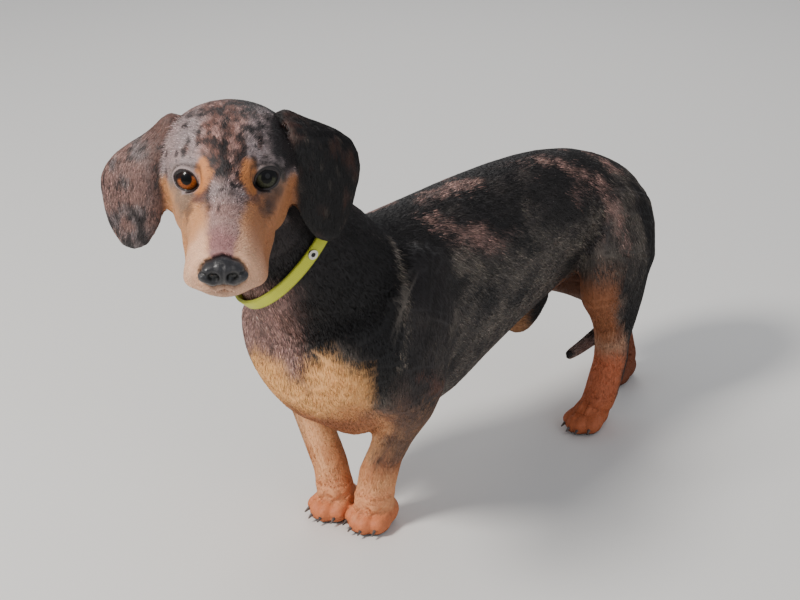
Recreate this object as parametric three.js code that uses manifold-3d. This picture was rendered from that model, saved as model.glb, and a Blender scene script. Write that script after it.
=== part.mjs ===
// A smooth-haired miniature dachshund standing still on all four feet, head turned to its left,
// tail carried low between the hind legs, wearing a plain flat collar.
// Millimetres, +Z up, the dog faces -Y and its left side is +X; the floor is Z = 0.
import * as THREE from "three";
import Module from "manifold-3d";
import { mergeVertices } from "three/addons/utils/BufferGeometryUtils.js";

const wasm = await Module();
wasm.setup();
const { Manifold, Mesh } = wasm;

// Driving sizes.
const GAP = 0.3;                 // clearance between neighbouring nodes

// head
const HEAD_YAW = 45.8;           // turn of the head towards the dog's left, degrees
const HEAD_PITCH = 0;            // nose up or down, degrees
const EYE_MIDPOINT = [24, -229, 256];
const EYE_RADIUS = 9.4;
const EYE_HALF_SPACING = 18;     // eyeball centres from the midline
const EYE_SET_BACK = 4.5;        // eyeball centres behind the plane of the corneas
const EYE_OUTWARD = 20;          // how far the eyes look outward, degrees
const LID_THICKNESS = 1.7;
const LID_OPENING = [8.6, 5.6];  // half length and half height of the opening between the lids
const NOSTRIL_SPACING = 5.1;
const EAR_SWEEP = 38;            // how far the outer edge of the ear is swept back, degrees
const EAR_DROP = 12;             // and how far it hangs below the inner edge, degrees

// collar
const COLLAR_WIDTH = 7;  
const COLLAR_THICKNESS = 2.2;
const EYELET_RADIUS = 2.9;

// feet
const TOE_COUNT = 4;
const CLAW_LENGTH = 9;

// Colours.
const paint = (color, roughness = 0.8, metalness = 0) =>
  new THREE.MeshStandardMaterial({ color, roughness, metalness });
const COAT_DARK = paint(0x2e2826);
const COAT_GREY = paint(0x4a4340);
const COAT_HEAD = paint(0x6b5a50);
const COAT_TAN = paint(0xb06a3a);
const NOSE_LEATHER = paint(0x232328, 0.35);
const EYE_AMBER = paint(0x3a2212, 0.12);
const EYE_DARK = paint(0x2c2a24, 0.12);
const CLAW_HORN = paint(0x1f1a18, 0.5);
const COLLAR_BAND = paint(0xb9bf2e, 0.55);
const EYELET_METAL = paint(0xc9c6bb, 0.3, 1);

// Forms.
const { lerp, clamp, degToRad } = THREE.MathUtils;
const V = (x, y, z) => new THREE.Vector3(x, y, z);

// A geometry as a closed solid; its faces are turned outward.
function solidOf(geometry) {
  const bare = geometry.clone();
  bare.deleteAttribute("normal");
  bare.deleteAttribute("uv");
  const merged = mergeVertices(bare, 1e-3);
  const vertProperties = new Float32Array(merged.getAttribute("position").array);
  const triVerts = new Uint32Array(merged.getIndex().array);
  const a = V(), b = V(), c = V();
  let volume = 0;
  for (let i = 0; i < triVerts.length; i += 3) {
    a.fromArray(vertProperties, triVerts[i] * 3);
    b.fromArray(vertProperties, triVerts[i + 1] * 3);
    c.fromArray(vertProperties, triVerts[i + 2] * 3);
    volume += a.dot(b.cross(c));
  }
  if (volume < 0) {
    for (let i = 0; i < triVerts.length; i += 3) {
      [triVerts[i], triVerts[i + 1]] = [triVerts[i + 1], triVerts[i]];
    }
  }
  return new Manifold(new Mesh({ numProp: 3, vertProperties, triVerts }));
}

// A closed form made by moving every vertex of a sphere: place(along, round) gives its new
// position, along runs 0..1 from pole to pole and round is the angle about the axis.
function closedForm(sides, rings, place) {
  const geometry = new THREE.SphereGeometry(1, sides, rings);
  const position = geometry.getAttribute("position");
  const vertex = V();
  for (let i = 0; i < position.count; i++) {
    vertex.fromBufferAttribute(position, i);
    const along = Math.acos(clamp(vertex.y, -1, 1)) / Math.PI;
    const pole = along < 1e-6 || along > 1 - 1e-6;
    const moved = place(along, pole ? 0 : Math.atan2(vertex.z, vertex.x));
    position.setXYZ(i, moved.x, moved.y, moved.z);
  }
  return solidOf(geometry);
}

const signedPower = (value, power) => Math.sign(value) * Math.abs(value) ** power;

// Smooth value between the stations of a list, t = 0..1 over the whole list.
function between(values, t) {
  const last = values.length - 1;
  const place = clamp(t, 0, 1) * last;
  const i = Math.min(Math.floor(place), last - 1);
  const s = place - i;
  const [before, start, end, after] = [values[Math.max(i - 1, 0)], values[i], values[i + 1],
    values[Math.min(i + 2, last)]];
  const rise = (end - before) / 2;
  const leave = (after - start) / 2;
  return (2 * s ** 3 - 3 * s ** 2 + 1) * start + (s ** 3 - 2 * s ** 2 + s) * rise
    + (3 * s ** 2 - 2 * s ** 3) * end + (s ** 3 - s ** 2) * leave;
}

// A body lofted through stations { at, wide, up, down, soft }: an oval section at each station,
// wide to both sides of it, up and down from it, soft 1 for an ellipse and less for a squarer
// section; keel is the same for the lower half. across is the direction of wide. Stations run
// backwards along the body or down a leg, so that up is the upper or the rear side. Caps of the
// given lengths round both ends; grow moves the whole surface outward.
function surface(stations, { across = [1, 0, 0], caps = [8, 8], grow = 0 }) {
  const axis = new THREE.CatmullRomCurve3(stations.map((s) => V(...s.at)), false, "centripetal");
  const of = (name, other) => stations.map((s) => s[name] ?? s[other] ?? 1);
  const wides = of("wide");
  const ups = of("up", "wide");
  const downs = stations.map((s) => s.down ?? s.up ?? s.wide);
  const softs = of("soft");
  const keels = of("keel", "soft");
  const side = V(...across).normalize();
  // t runs 0..1 from the first station to the last; below 0 and above 1 it rounds the caps
  return (t, round) => {
    const over = Math.max(-t, t - 1, 0);
    const shrink = Math.cos(over * Math.PI / 2);
    const slide = Math.sin(over * Math.PI / 2) * (t < 0 ? -(caps[0] + grow) : caps[1] + grow);
    const inside = clamp(t, 0, 1);
    const tangent = axis.getTangent(inside);
    const lateral = side.clone().addScaledVector(tangent, -side.dot(tangent)).normalize();
    const upward = lateral.clone().cross(tangent);
    const soft = between(Math.sin(round) < 0 ? keels : softs, inside);
    const c = signedPower(Math.cos(round), soft);
    const s = signedPower(Math.sin(round), soft);
    const height = (s > 0 ? between(ups, inside) : between(downs, inside)) + grow;
    return axis.getPoint(inside)
      .addScaledVector(tangent, slide)
      .addScaledVector(lateral, (between(wides, inside) + grow) * c * shrink)
      .addScaledVector(upward, height * s * shrink);
  };
}

function loft(stations, { sides = 24, rings = 20, ...options }) {
  const place = surface(stations, options);
  const capShare = 2.5 / rings;
  return closedForm(sides, rings, (along, round) => {
    if (along < capShare) return place(along / capShare - 1, round);
    if (along > 1 - capShare) return place(2 - (1 - along) / capShare, round);
    return place((along - capShare) / (1 - 2 * capShare), round);
  });
}

// An ellipsoid with the given half sizes, turned in degrees and set at a centre.
function egg(centre, half, { turn = [0, 0, 0], sides = 20, rings = 14 } = {}) {
  const geometry = new THREE.SphereGeometry(1, sides, rings);
  geometry.scale(...half);
  geometry.rotateX(degToRad(turn[0]));
  geometry.rotateY(degToRad(turn[1]));
  geometry.rotateZ(degToRad(turn[2]));
  geometry.translate(...centre);
  return solidOf(geometry);
}

// Everything on the far side of a plane: more than shift beyond point in the direction normal.
const FAR = 900;
function beyond(point, normal, shift) {
  const direction = V(...normal).normalize();
  const geometry = new THREE.BoxGeometry(FAR, FAR, FAR);
  geometry.applyQuaternion(new THREE.Quaternion().setFromUnitVectors(V(0, 0, 1), direction));
  const centre = V(...point).addScaledVector(direction, shift + FAR / 2);
  geometry.translate(centre.x, centre.y, centre.z);
  return solidOf(geometry);
}

const union = (forms) => Manifold.union(forms);
const largest = (solid) => {
  const pieces = solid.decompose();
  return pieces.reduce((best, piece) => (piece.volume() > best.volume() ? piece : best));
};

// Head coordinates: x to the dog's left, y backwards, z up, origin midway between the eyes.
const headMatrix = new THREE.Matrix4()
  .makeRotationZ(degToRad(HEAD_YAW))
  .multiply(new THREE.Matrix4().makeRotationX(degToRad(-HEAD_PITCH)))
  .setPosition(...EYE_MIDPOINT);
const onHead = (solid) => solid.transform(headMatrix.elements);
const headPoint = (x, y, z) => V(x, y, z).applyMatrix4(headMatrix);

// Torso.
// top and bottom of the trunk above the floor at each station back along the body
const trunkRow = (y, top, bottom, wide) => {
  const level = lerp(bottom, top, 0.54);
  return { at: [0, y, level], wide, up: top - level, down: level - bottom, soft: 0.95, keel: 1.15 };
};
const torsoForm = () => loft([
  trunkRow(-154, 165, 84, 52),
  trunkRow(-132, 179, 68, 56),
  trunkRow(-102, 190, 58, 54),
  trunkRow(-66, 195, 58, 51),
  trunkRow(-36, 197.5, 68, 47),
  trunkRow(-6, 199.5, 79, 45),
  trunkRow(26, 200.5, 89, 42),
  trunkRow(58, 200, 97, 39),
  trunkRow(88, 196, 103, 39),
  trunkRow(116, 188, 107, 40),
  trunkRow(141, 176, 112, 36),
  trunkRow(158, 163.5, 120, 28),
], { sides: 24, rings: 20, caps: [18, 13] });

// the fold of the sheath under the belly
const sheathForm = () => loft([
  { at: [0, 36, 84], wide: 5 },
  { at: [0, 52, 79], wide: 7.5 },
  { at: [0, 74, 96], wide: 8 },
], { sides: 12, rings: 10, caps: [6, 5] });

// Neck.
const NECK = [
  { at: [-12, -186, 244], wide: 29, up: 29, down: 28 },
  { at: [-10, -172, 221], wide: 32, up: 31, down: 32 },
  { at: [-6, -153, 197], wide: 39, up: 34, down: 44 },
  { at: [-3, -132, 171], wide: 46, up: 38, down: 53 },
  { at: [0, -92, 142], wide: 47, up: 38, down: 52 },
];
const NECK_CAPS = [10, 20];
const neckForm = (grow = 0) => loft(NECK, { sides: 22, rings: 11, caps: NECK_CAPS, grow });

// Head.
// f is the distance ahead of the eyes; top and bottom are heights about eye level
const headRow = (f, top, bottom, wide, level, soft = 0.95, keel = soft) => ({
  at: [0, -f, level], wide, up: top - level, down: level - bottom, soft, keel,
});
const SKULL = [
  headRow(62, -12, -37, 17, -26, 1, 0.85),
  headRow(48, -7.5, -40, 19.5, -25, 1.05, 0.8),
  headRow(30, -2, -43, 20.5, -22, 1.15, 0.8),
  headRow(14, 4, -43.5, 23, -18, 1.35, 0.85),
  headRow(2, 11.5, -46, 28.5, -14, 1.25),
  headRow(-10, 20.5, -46, 32, -9, 1.05),
  headRow(-24, 28, -46, 35, -4),
  headRow(-42, 30, -44, 36, 1),
  headRow(-62, 26, -34, 31, 2),
  headRow(-77, 16, -14, 20, 3),
];
const skullForm = (grow = 0) => loft(SKULL, { sides: 24, rings: 20, caps: [7, 8], grow });

const eyeCentre = (side) => [side * EYE_HALF_SPACING, EYE_SET_BACK, 0.5];
const eyeForm = (side, grow = 0) => egg(eyeCentre(side), Array(3).fill(EYE_RADIUS + grow),
  { sides: 16, rings: 10 });

// the almond opening between the lids, pushed outward from the eyeball
function lidOpening(side) {
  const [half, tall] = LID_OPENING;
  const outline = new THREE.Shape();
  outline.moveTo(-half, -0.8);
  outline.quadraticCurveTo(-half * 0.45, tall * 1.25, 0, tall);
  outline.quadraticCurveTo(half * 0.6, tall * 0.9, half, 0.6);
  outline.quadraticCurveTo(half * 0.5, -tall * 0.95, -half * 0.1, -tall * 0.95);
  outline.quadraticCurveTo(-half * 0.7, -tall * 0.9, -half, -0.8);
  const prism = new THREE.ExtrudeGeometry(outline, { depth: 22, bevelEnabled: false, curveSegments: 4 });
  if (side < 0) prism.scale(-1, 1, 1);
  prism.rotateX(Math.PI / 2);
  prism.rotateZ(side * degToRad(EYE_OUTWARD));
  prism.translate(...eyeCentre(side));
  return solidOf(prism);
}

const noseForm = (grow = 0) => {
  const wing = (side) => egg([side * NOSTRIL_SPACING, -67.5, -24], [5.8 + grow, 6 + grow, 6.6 + grow],
    { sides: 12, rings: 8 });
  const pad = egg([0, -67, -23], [7.6 + grow, 7 + grow, 7.4 + grow], { sides: 12, rings: 8 });
  return union([pad, wing(1), wing(-1)]);
};
const nostril = (side) => loft([
  { at: [side * 4.6, -76, -24.5], wide: 2.5, up: 2.4 },
  { at: [side * 5.6, -71.5, -24], wide: 2.2, up: 2 },
  { at: [side * 9.5, -70.5, -23], wide: 1.1, up: 1.1 },
  { at: [side * 13.5, -69, -22.5], wide: 0.9, up: 0.9 },
], { across: [0, 0, 1], sides: 8, rings: 8, caps: [1.5, 1.5] });

// the line of the mouth, from one corner round under the nose to the other
const mouthHalf = (side) => [
  [side * 24.5, -6, -30], [side * 22.8, -18, -35], [side * 21.5, -32, -37.5],
  [side * 19, -48, -37.5], [side * 14.5, -61, -36.5],
];
const mouthLine = () => loft([
  ...mouthHalf(1).map((at) => ({ at, wide: 0.8, up: 3 })),
  { at: [0, -69.5, -35.5], wide: 0.8, up: 3 },
  ...mouthHalf(-1).reverse().map((at) => ({ at, wide: 0.8, up: 3 })),
], { across: [0, 0, 1], sides: 6, rings: 26, caps: [2, 2] });

// the upper lip hanging over the lower jaw along each side
const upperLip = (side) => loft([
  { at: [side * 19.5, -8, -25], wide: 4.4, up: 6, down: 5 },
  { at: [side * 17.8, -22, -29.5], wide: 4.8, up: 6, down: 5.5 },
  { at: [side * 17, -38, -31], wide: 4.6, up: 6, down: 5.3 },
  { at: [side * 13.6, -54, -30.5], wide: 4.8, up: 6, down: 4.6 },
  { at: [side * 7.5, -64.5, -30], wide: 4.8, up: 5.5, down: 4.4 },
], { sides: 10, rings: 12, caps: [4, 3] });

const brow = (side) => egg([side * 17.5, 9.5, 6.5], [12.5, 10, 9.5],
  { turn: [25, 0, side * 18], sides: 14, rings: 8 });
const cheek = (side) => egg([side * 23, 17, -16], [11, 23, 17],
  { turn: [0, 0, side * -8], sides: 14, rings: 8 });
const chin = () => egg([0, -53, -34.5], [12.5, 14, 6], { sides: 12, rings: 8 });
// the hollow between the inner corner of the eye and the bridge of the muzzle
const orbit = (side) => egg([side * 21, -13, 2], [9, 15, 9],
  { turn: [12, 0, side * 14], sides: 12, rings: 8 });

const headBase = (grow = 0) => union([
  skullForm(grow).subtract(orbit(1)).subtract(orbit(-1)), brow(1), brow(-1), cheek(1), cheek(-1),
]);

function headForm() {
  const lidBall = (side) => egg(eyeCentre(side), Array(3).fill(EYE_RADIUS + GAP + LID_THICKNESS),
    { sides: 18, rings: 12 });
  const socket = (side) => union([eyeForm(side, GAP), lidOpening(side)]);
  return union([headBase(), upperLip(1), upperLip(-1), chin(), lidBall(1), lidBall(-1)])
    .subtract(socket(1)).subtract(socket(-1))
    .subtract(noseForm(GAP))
    .subtract(mouthLine());
}

// Ears.
// hanging flaps: l from the midline, b behind the eyes, u above them; curl bends both edges
// back so the inner side is hollow
const EARS = {
  left: [
    { at: [30, 42, 23], wide: 6, thick: 5, curl: 0 },
    { at: [38.5, 38, 20], wide: 11.5, thick: 4.4, curl: 1 },
    { at: [50.5, 34, 11.5], wide: 21, thick: 3.4, curl: 3.5 },
    { at: [55, 31, -4], wide: 24, thick: 2.8, curl: 5.5 },
    { at: [54, 29, -18], wide: 21.5, thick: 2.6, curl: 5.5 },
    { at: [52.5, 28, -31], wide: 17.5, thick: 2.4, curl: 4 },
    { at: [52, 27, -41.5], wide: 10.5, thick: 2, curl: 2 },
  ],
  right: [
    { at: [30, 42, 22], wide: 6, thick: 5, curl: 0 },
    { at: [37, 38, 15], wide: 10, thick: 4.4, curl: 1 },
    { at: [48, 34, 6], wide: 19, thick: 3.4, curl: 3.5 },
    { at: [54.5, 31, -6], wide: 24.5, thick: 2.8, curl: 5.5 },
    { at: [55, 29, -19], wide: 23.5, thick: 2.6, curl: 5.5 },
    { at: [54, 28, -32.5], wide: 20, thick: 2.4, curl: 4 },
    { at: [53, 27, -43.5], wide: 12, thick: 2, curl: 2 },
  ],
};
function earForm(side) {
  const rows = side > 0 ? EARS.left : EARS.right;
  const axis = new THREE.CatmullRomCurve3(rows.map(({ at }) => V(side * at[0], at[1], at[2])));
  const of = (name) => rows.map((row) => row[name]);
  const sweep = degToRad(EAR_SWEEP);
  const drop = degToRad(EAR_DROP);
  const outward = V(side * Math.cos(sweep) * Math.cos(drop), Math.sin(sweep) * Math.cos(drop), -Math.sin(drop));
  const forward = V(side * Math.sin(sweep), -Math.cos(sweep), 0);
  return closedForm(16, 14, (along, round) => {
    const cap = 0.12;
    const t = clamp((along - cap * 0.5) / (1 - cap), 0, 1);
    const edge = Math.min(along, 1 - along) / cap;
    const shrink = edge < 1 ? Math.sin(edge * Math.PI / 2) : 1;
    const c = Math.cos(round);
    const s = Math.sin(round);
    const wide = between(of("wide"), t) * shrink;
    const thick = between(of("thick"), t) * shrink;
    const curl = between(of("curl"), t);
    return axis.getPoint(t)
      .addScaledVector(outward, wide * signedPower(c, 0.9))
      .addScaledVector(forward, thick * s - curl * c * c)
      .add(V(0, 0, along < cap ? 3 * (1 - edge) : along > 1 - cap ? -4 * (1 - edge) : 0));
  });
}

// Legs.
const row = (x, y, z, wide, up, down = up) => ({ at: [x, y, z], wide, up, down });

// from the shoulder blade down to the wrist: up is the rear side, down the front side
const FRONT_LEFT = [
  row(31, -86, 172, 14, 22),
  row(42, -100, 150, 19, 31, 35),
  row(45, -114, 124, 20, 32, 38),
  row(44, -108, 101, 18, 24, 28),
  row(33, -106, 76, 13.5, 12, 15),
  row(23, -109, 52, 11.3, 11.5),
  row(16.5, -110, 33, 12.8, 12.8),
  row(15, -112, 14, 12, 12),
];
const FRONT_RIGHT = [
  row(-31, -86, 172, 14, 22),
  row(-42, -100, 150, 19, 31, 35),
  row(-46, -115, 124, 20, 32, 38),
  row(-46, -113, 101, 18, 24, 28),
  row(-40, -114, 76, 14, 13, 15),
  row(-27, -117, 50, 11.3, 11.5),
  row(-16.5, -117, 31, 11.5, 12),
  row(-13.5, -116.5, 14, 11.5, 12),
];
// from the hip down to the hock and the heel
const HIND_LEFT = [
  row(28, 119, 160, 16, 37, 33),
  row(36, 109, 134, 20, 40, 37),
  row(40, 102, 109, 17, 36, 35),
  row(40, 106, 90, 14, 27),
  row(39, 107, 76, 12, 21),
  row(38, 106, 60, 10.5, 15),
  row(37, 107, 45, 11, 16, 15),
  row(36, 103, 33, 11, 16, 14),
  row(35, 97, 17, 11, 13),
];
const HIND_RIGHT = [
  row(-28, 120, 160, 16, 35, 32),
  row(-35, 114, 134, 19, 37, 36),
  row(-35, 112, 112, 17, 30),
  row(-29, 130, 94, 14, 22),
  row(-18, 154, 76, 11, 15),
  row(-5, 167, 50, 10.5, 12),
  row(1, 170, 32, 10.5, 11.5),
  row(2, 173, 16, 10.5, 12),
];
const limb = (stations, grow = 0) => loft(stations, { sides: 14, rings: 14, caps: [10, 8], grow });

// Paws.
// centre of each paw on the floor; turn: toes outward in degrees; long and wide in mm
const PAWS = {
  front_left: { centre: [15.5, -112], turn: 6, long: 40, wide: 15 },
  front_right: { centre: [-12.5, -117], turn: 2, long: 40, wide: 14.5 },
  hind_left: { centre: [34, 88], turn: 4, long: 42, wide: 13.5 },
  hind_right: { centre: [3, 166], turn: 2, long: 42, wide: 13.5 },
};

function pawFrame({ centre, turn }) {
  return new THREE.Matrix4().makeRotationZ(degToRad(turn)).setPosition(centre[0], centre[1], 0);
}

// toes fan out ahead of the pad: the two middle ones reach further
const toeAt = ({ long, wide }, index) => {
  const across = (index - (TOE_COUNT - 1) / 2) / ((TOE_COUNT - 1) / 2);
  const reach = long * (0.5 - 0.12 * across * across) - 9;
  return { x: across * wide * 0.62, y: -reach, splay: across * 10 };
};

function toeForm(paw, index, grow = 0) {
  const { x, y, splay } = toeAt(paw, index);
  return egg([x, y, 6.3], [4.9 + grow, 9.5 + grow, 7.2 + grow],
    { turn: [10, 0, -splay], sides: 8, rings: 5 });
}

function pawForm(paw) {
  const pad = egg([0, 3, 8.5], [paw.wide * 0.86, paw.long * 0.38, 10.5], { sides: 12, rings: 8 });
  const toes = Array.from({ length: TOE_COUNT }, (_, i) => toeForm(paw, i));
  return union([pad, ...toes]).transform(pawFrame(paw).elements);
}

// a claw grows from the upper front of its toe and bends down to just above the floor
function clawForm(paw, index, grow = 0) {
  const { x, y, splay } = toeAt(paw, index);
  const at = (distance, z) => [
    x + Math.sin(degToRad(splay)) * distance,
    y - Math.cos(degToRad(splay)) * distance,
    z,
  ];
  return loft([
    { at: at(CLAW_LENGTH + 4.4, 2.8), wide: 0.7 },
    { at: at(CLAW_LENGTH + 1.5, 5.2), wide: 1.2 },
    { at: at(7, 7), wide: 1.7, up: 2 },
    { at: at(3, 7.4), wide: 1.9, up: 2.2 },
  ], { sides: 6, rings: 5, caps: [0.8, 1], grow }).transform(pawFrame(paw).elements);
}

// Tail.
const TAIL = [
  row(0, 148, 158, 12.5, 12.5),
  row(0, 160, 148, 11.5, 11.5),
  row(2, 170, 128, 10, 10),
  row(8, 168, 102, 8.5, 8.5),
  row(14, 153, 76, 7.2, 7.2),
  row(14, 138, 58, 6.3, 6.3),
  row(12, 116, 49.5, 5.5, 5.5),
  row(12, 93, 46.5, 4.6, 4.6),
];
const tailForm = (grow = 0) => loft(TAIL, { sides: 10, rings: 17, caps: [8, 5], grow });

// Collar.
// the band lies round the neck in a plane that rises towards the left ear
const COLLAR_POINT = [11.7, -181.5, 182.5];
const COLLAR_NORMAL = [-0.38, -0.67, 0.64];
const EYELET_PLACE = [0.41, -0.32];       // along the neck and round it
const neckPoint = (grow) => surface(NECK, { caps: NECK_CAPS, grow })(...EYELET_PLACE);

function eyeletForm(grow = 0) {
  const low = neckPoint(GAP);
  const outward = neckPoint(GAP + 10).sub(low).normalize();
  const [inner, outer] = [EYELET_RADIUS * 0.48 - grow, EYELET_RADIUS + grow];
  const [base, top] = [0.1 - grow, COLLAR_THICKNESS + 0.5 + grow];
  const profile = [[inner, base], [outer, base], [outer, top], [inner, top], [inner, base]]
    .map(([x, y]) => new THREE.Vector2(x, y));
  const geometry = new THREE.LatheGeometry(profile, 14);
  geometry.applyQuaternion(new THREE.Quaternion().setFromUnitVectors(V(0, 1, 0), outward));
  geometry.translate(low.x, low.y, low.z);
  return solidOf(geometry);
}

const collarBand = () => neckForm(GAP + COLLAR_THICKNESS)
  .subtract(neckForm(GAP))
  .subtract(beyond(COLLAR_POINT, COLLAR_NORMAL, COLLAR_WIDTH / 2))
  .subtract(beyond(COLLAR_POINT, COLLAR_NORMAL.map((c) => -c), COLLAR_WIDTH / 2));

// The whole body, then parted.
// planes of the cuts: behind the skull, and from the withers down to the front of the chest
const NAPE_POINT = headPoint(0, 49, -47).toArray();
const NAPE_NORMAL = [-0.35, 0.76, -0.44];
const WITHERS_POINT = [0, -104, 200];
const WITHERS_NORMAL = [0, -0.64, 0.768];
const WRIST_LEVEL = 23;          // the paws are parted from the legs at this height
const opposite = (normal) => normal.map((c) => -c);

const LIMBS = {
  front_left: FRONT_LEFT, front_right: FRONT_RIGHT, hind_left: HIND_LEFT, hind_right: HIND_RIGHT,
};
const trunk = union([torsoForm(), sheathForm(), neckForm(), onHead(headForm())])
  .subtract(union([...Object.values(LIMBS).map((rows) => limb(rows, GAP)), tailForm(GAP)]));

const nodes = [];
const add = (name, solid, material) => nodes.push({ name, solid: largest(solid), material });

add("head", trunk.subtract(beyond(NAPE_POINT, NAPE_NORMAL, 0)), COAT_HEAD);
add("neck", trunk.subtract(beyond(NAPE_POINT, opposite(NAPE_NORMAL), -GAP))
  .subtract(beyond(WITHERS_POINT, opposite(WITHERS_NORMAL), 0)), COAT_GREY);
add("torso", trunk.subtract(beyond(WITHERS_POINT, WITHERS_NORMAL, -GAP)), COAT_DARK);

const skullAndNeck = union([onHead(headBase(GAP)), neckForm(GAP)]);
for (const side of [1, -1]) {
  const hand = side > 0 ? "left" : "right";
  add(`ear_${hand}`, onHead(earForm(side)).subtract(skullAndNeck), side > 0 ? COAT_DARK : COAT_HEAD);
  add(`eye_${hand}`, onHead(eyeForm(side)), side > 0 ? EYE_DARK : EYE_AMBER);
}
add("nose", onHead(noseForm().subtract(nostril(1)).subtract(nostril(-1))), NOSE_LEATHER);

const belowFloor = () => beyond([0, 0, 0], [0, 0, -1], 0);
for (const [corner, rows] of Object.entries(LIMBS)) {
  const [end, hand] = corner.split("_");
  const paw = PAWS[corner];
  const claws = (grow) => Array.from({ length: TOE_COUNT }, (_, i) => clawForm(paw, i, grow));
  add(`${end}_leg_${hand}`, limb(rows).subtract(beyond([0, 0, WRIST_LEVEL], [0, 0, -1], 0)),
    end === "hind" ? COAT_GREY : COAT_TAN);
  add(`${end}_paw_${hand}`, union([limb(rows), pawForm(paw)])
    .subtract(beyond([0, 0, WRIST_LEVEL - GAP], [0, 0, 1], 0))
    .subtract(belowFloor())
    .subtract(union(claws(GAP))), COAT_TAN);
  claws(0).forEach((claw, i) => add(`claw_${corner}_${i + 1}`, claw, CLAW_HORN));
}
add("tail", tailForm(), COAT_GREY);
add("collar", collarBand().subtract(eyeletForm(GAP)), COLLAR_BAND);
add("collar_eyelet", eyeletForm().subtract(neckForm(GAP)), EYELET_METAL);

// Result.
// the origin is the middle of the bottom of the whole model
const group = new THREE.Group();
group.name = "dachshund";
for (const { name, solid, material } of nodes) {
  const { vertProperties, triVerts, numProp } = solid.getMesh();
  const geometry = new THREE.BufferGeometry();
  const positions = new Float32Array((vertProperties.length / numProp) * 3);
  for (let i = 0; i < positions.length / 3; i++) {
    positions.set(vertProperties.subarray(i * numProp, i * numProp + 3), i * 3);
  }
  geometry.setAttribute("position", new THREE.BufferAttribute(positions, 3));
  geometry.setIndex(new THREE.BufferAttribute(new Uint32Array(triVerts), 1));
  const mesh = new THREE.Mesh(geometry, material);
  mesh.name = name;
  group.add(mesh);
}
const bounds = new THREE.Box3().setFromObject(group);
const middle = bounds.getCenter(V());
group.position.set(-middle.x, -middle.y, -bounds.min.z);
group.updateMatrixWorld(true);

export default group;
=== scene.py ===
import math

import bmesh
import bpy
import numpy as np
from mathutils import Matrix, Vector
from mathutils.bvhtree import BVHTree


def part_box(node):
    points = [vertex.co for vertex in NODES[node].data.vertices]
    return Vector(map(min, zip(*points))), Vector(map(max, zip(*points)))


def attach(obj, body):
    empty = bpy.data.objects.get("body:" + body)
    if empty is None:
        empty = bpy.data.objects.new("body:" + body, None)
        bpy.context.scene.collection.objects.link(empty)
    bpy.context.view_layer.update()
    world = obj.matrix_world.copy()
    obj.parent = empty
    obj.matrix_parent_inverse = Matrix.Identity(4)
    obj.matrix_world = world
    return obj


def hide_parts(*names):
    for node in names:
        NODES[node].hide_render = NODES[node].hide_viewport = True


bl_info = {
    "name": "Dappled dachshund",
    "version": (1, 0, 0),
    "blender": (4, 5, 0),
    "location": "3D View > Sidebar > Dachshund",
    "description": "Dresses the solids of a standing dachshund in skin, coat, eyes and collar",
    "category": "Object",
}

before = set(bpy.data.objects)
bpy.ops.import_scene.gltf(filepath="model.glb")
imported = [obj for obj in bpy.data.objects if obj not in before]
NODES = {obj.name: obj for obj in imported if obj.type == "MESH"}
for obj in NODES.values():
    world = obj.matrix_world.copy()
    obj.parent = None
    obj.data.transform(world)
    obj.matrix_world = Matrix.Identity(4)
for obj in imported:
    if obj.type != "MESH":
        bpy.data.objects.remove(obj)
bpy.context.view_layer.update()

# places that the solids and this script share
EYE_MIDPOINT = np.array([24.0, -229.0, 256.0])
EYE_SET_BACK = 4.5
EYE_RAISED = 0.5
EYE_RADIUS = 9.4
EYE_OUTWARD = math.radians(20)


def box_centre(node):
    """Middle of a CAD node's box, in millimetres."""
    low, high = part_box(node)
    return np.array((low + high) / 2) * 1000


# the head's axes come from the two eyes, and so does the step from the dog's frame to the model's
_across = box_centre("eye_left") - box_centre("eye_right")
_across /= np.linalg.norm(_across)
HEAD_AXES = np.array([_across, np.cross((0, 0, 1), _across), (0, 0, 1)]).T
TO_MODEL = (box_centre("eye_left") + box_centre("eye_right")) / 2 - (
    EYE_MIDPOINT + HEAD_AXES @ (0, EYE_SET_BACK, EYE_RAISED)
)


def from_head(points):
    """Head coordinates to the dog's frame."""
    return np.asarray(points, float) @ HEAD_AXES.T + EYE_MIDPOINT


def to_head(points):
    """The dog's frame to head coordinates."""
    return (np.asarray(points, float) - EYE_MIDPOINT) @ HEAD_AXES


def to_model(points):
    """The dog's frame in millimetres to the model's in metres."""
    return (np.asarray(points, float) + TO_MODEL) / 1000


def from_model(points):
    """The model's frame in metres to the dog's in millimetres."""
    return np.asarray(points, float) * 1000 - TO_MODEL


# Small tools.


def ramp(value, low, high):
    """0 below low, 1 above high, and smooth between them; low may be the larger."""
    t = np.clip((value - low) / (high - low), 0, 1)
    return t * t * (3 - 2 * t)


def unit(vectors):
    """Vectors of length one."""
    length = np.linalg.norm(vectors, axis=-1, keepdims=True)
    return vectors / np.maximum(length, 1e-9)


def noise(points, size, seed):
    """A smooth random value from -1 to 1 that changes over about size millimetres."""
    table = np.random.default_rng(seed).uniform(-1, 1, 32**3).astype(np.float32)
    place = (np.asarray(points) / size).astype(np.float32)
    cell = np.floor(place)
    part = place - cell
    x, y, z = (part * part * (3 - 2 * part)).T
    low = cell.astype(np.int32) & 31
    high = (low + 1) & 31
    total = 0
    for i, a in enumerate((low[:, 0] << 10, high[:, 0] << 10)):
        for j, b in enumerate((low[:, 1] << 5, high[:, 1] << 5)):
            near, far = table[a + b + low[:, 2]], table[a + b + high[:, 2]]
            total = total + (x if i else 1 - x) * (y if j else 1 - y) * (near + z * (far - near))
    return total


def cloud(points, size, seed, layers=3):
    """Noise in several sizes, each half the one before."""
    total = np.zeros(len(points))
    for layer in range(layers):
        total += noise(points, size / 2**layer, seed + layer) / 2**layer
    return total


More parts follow.
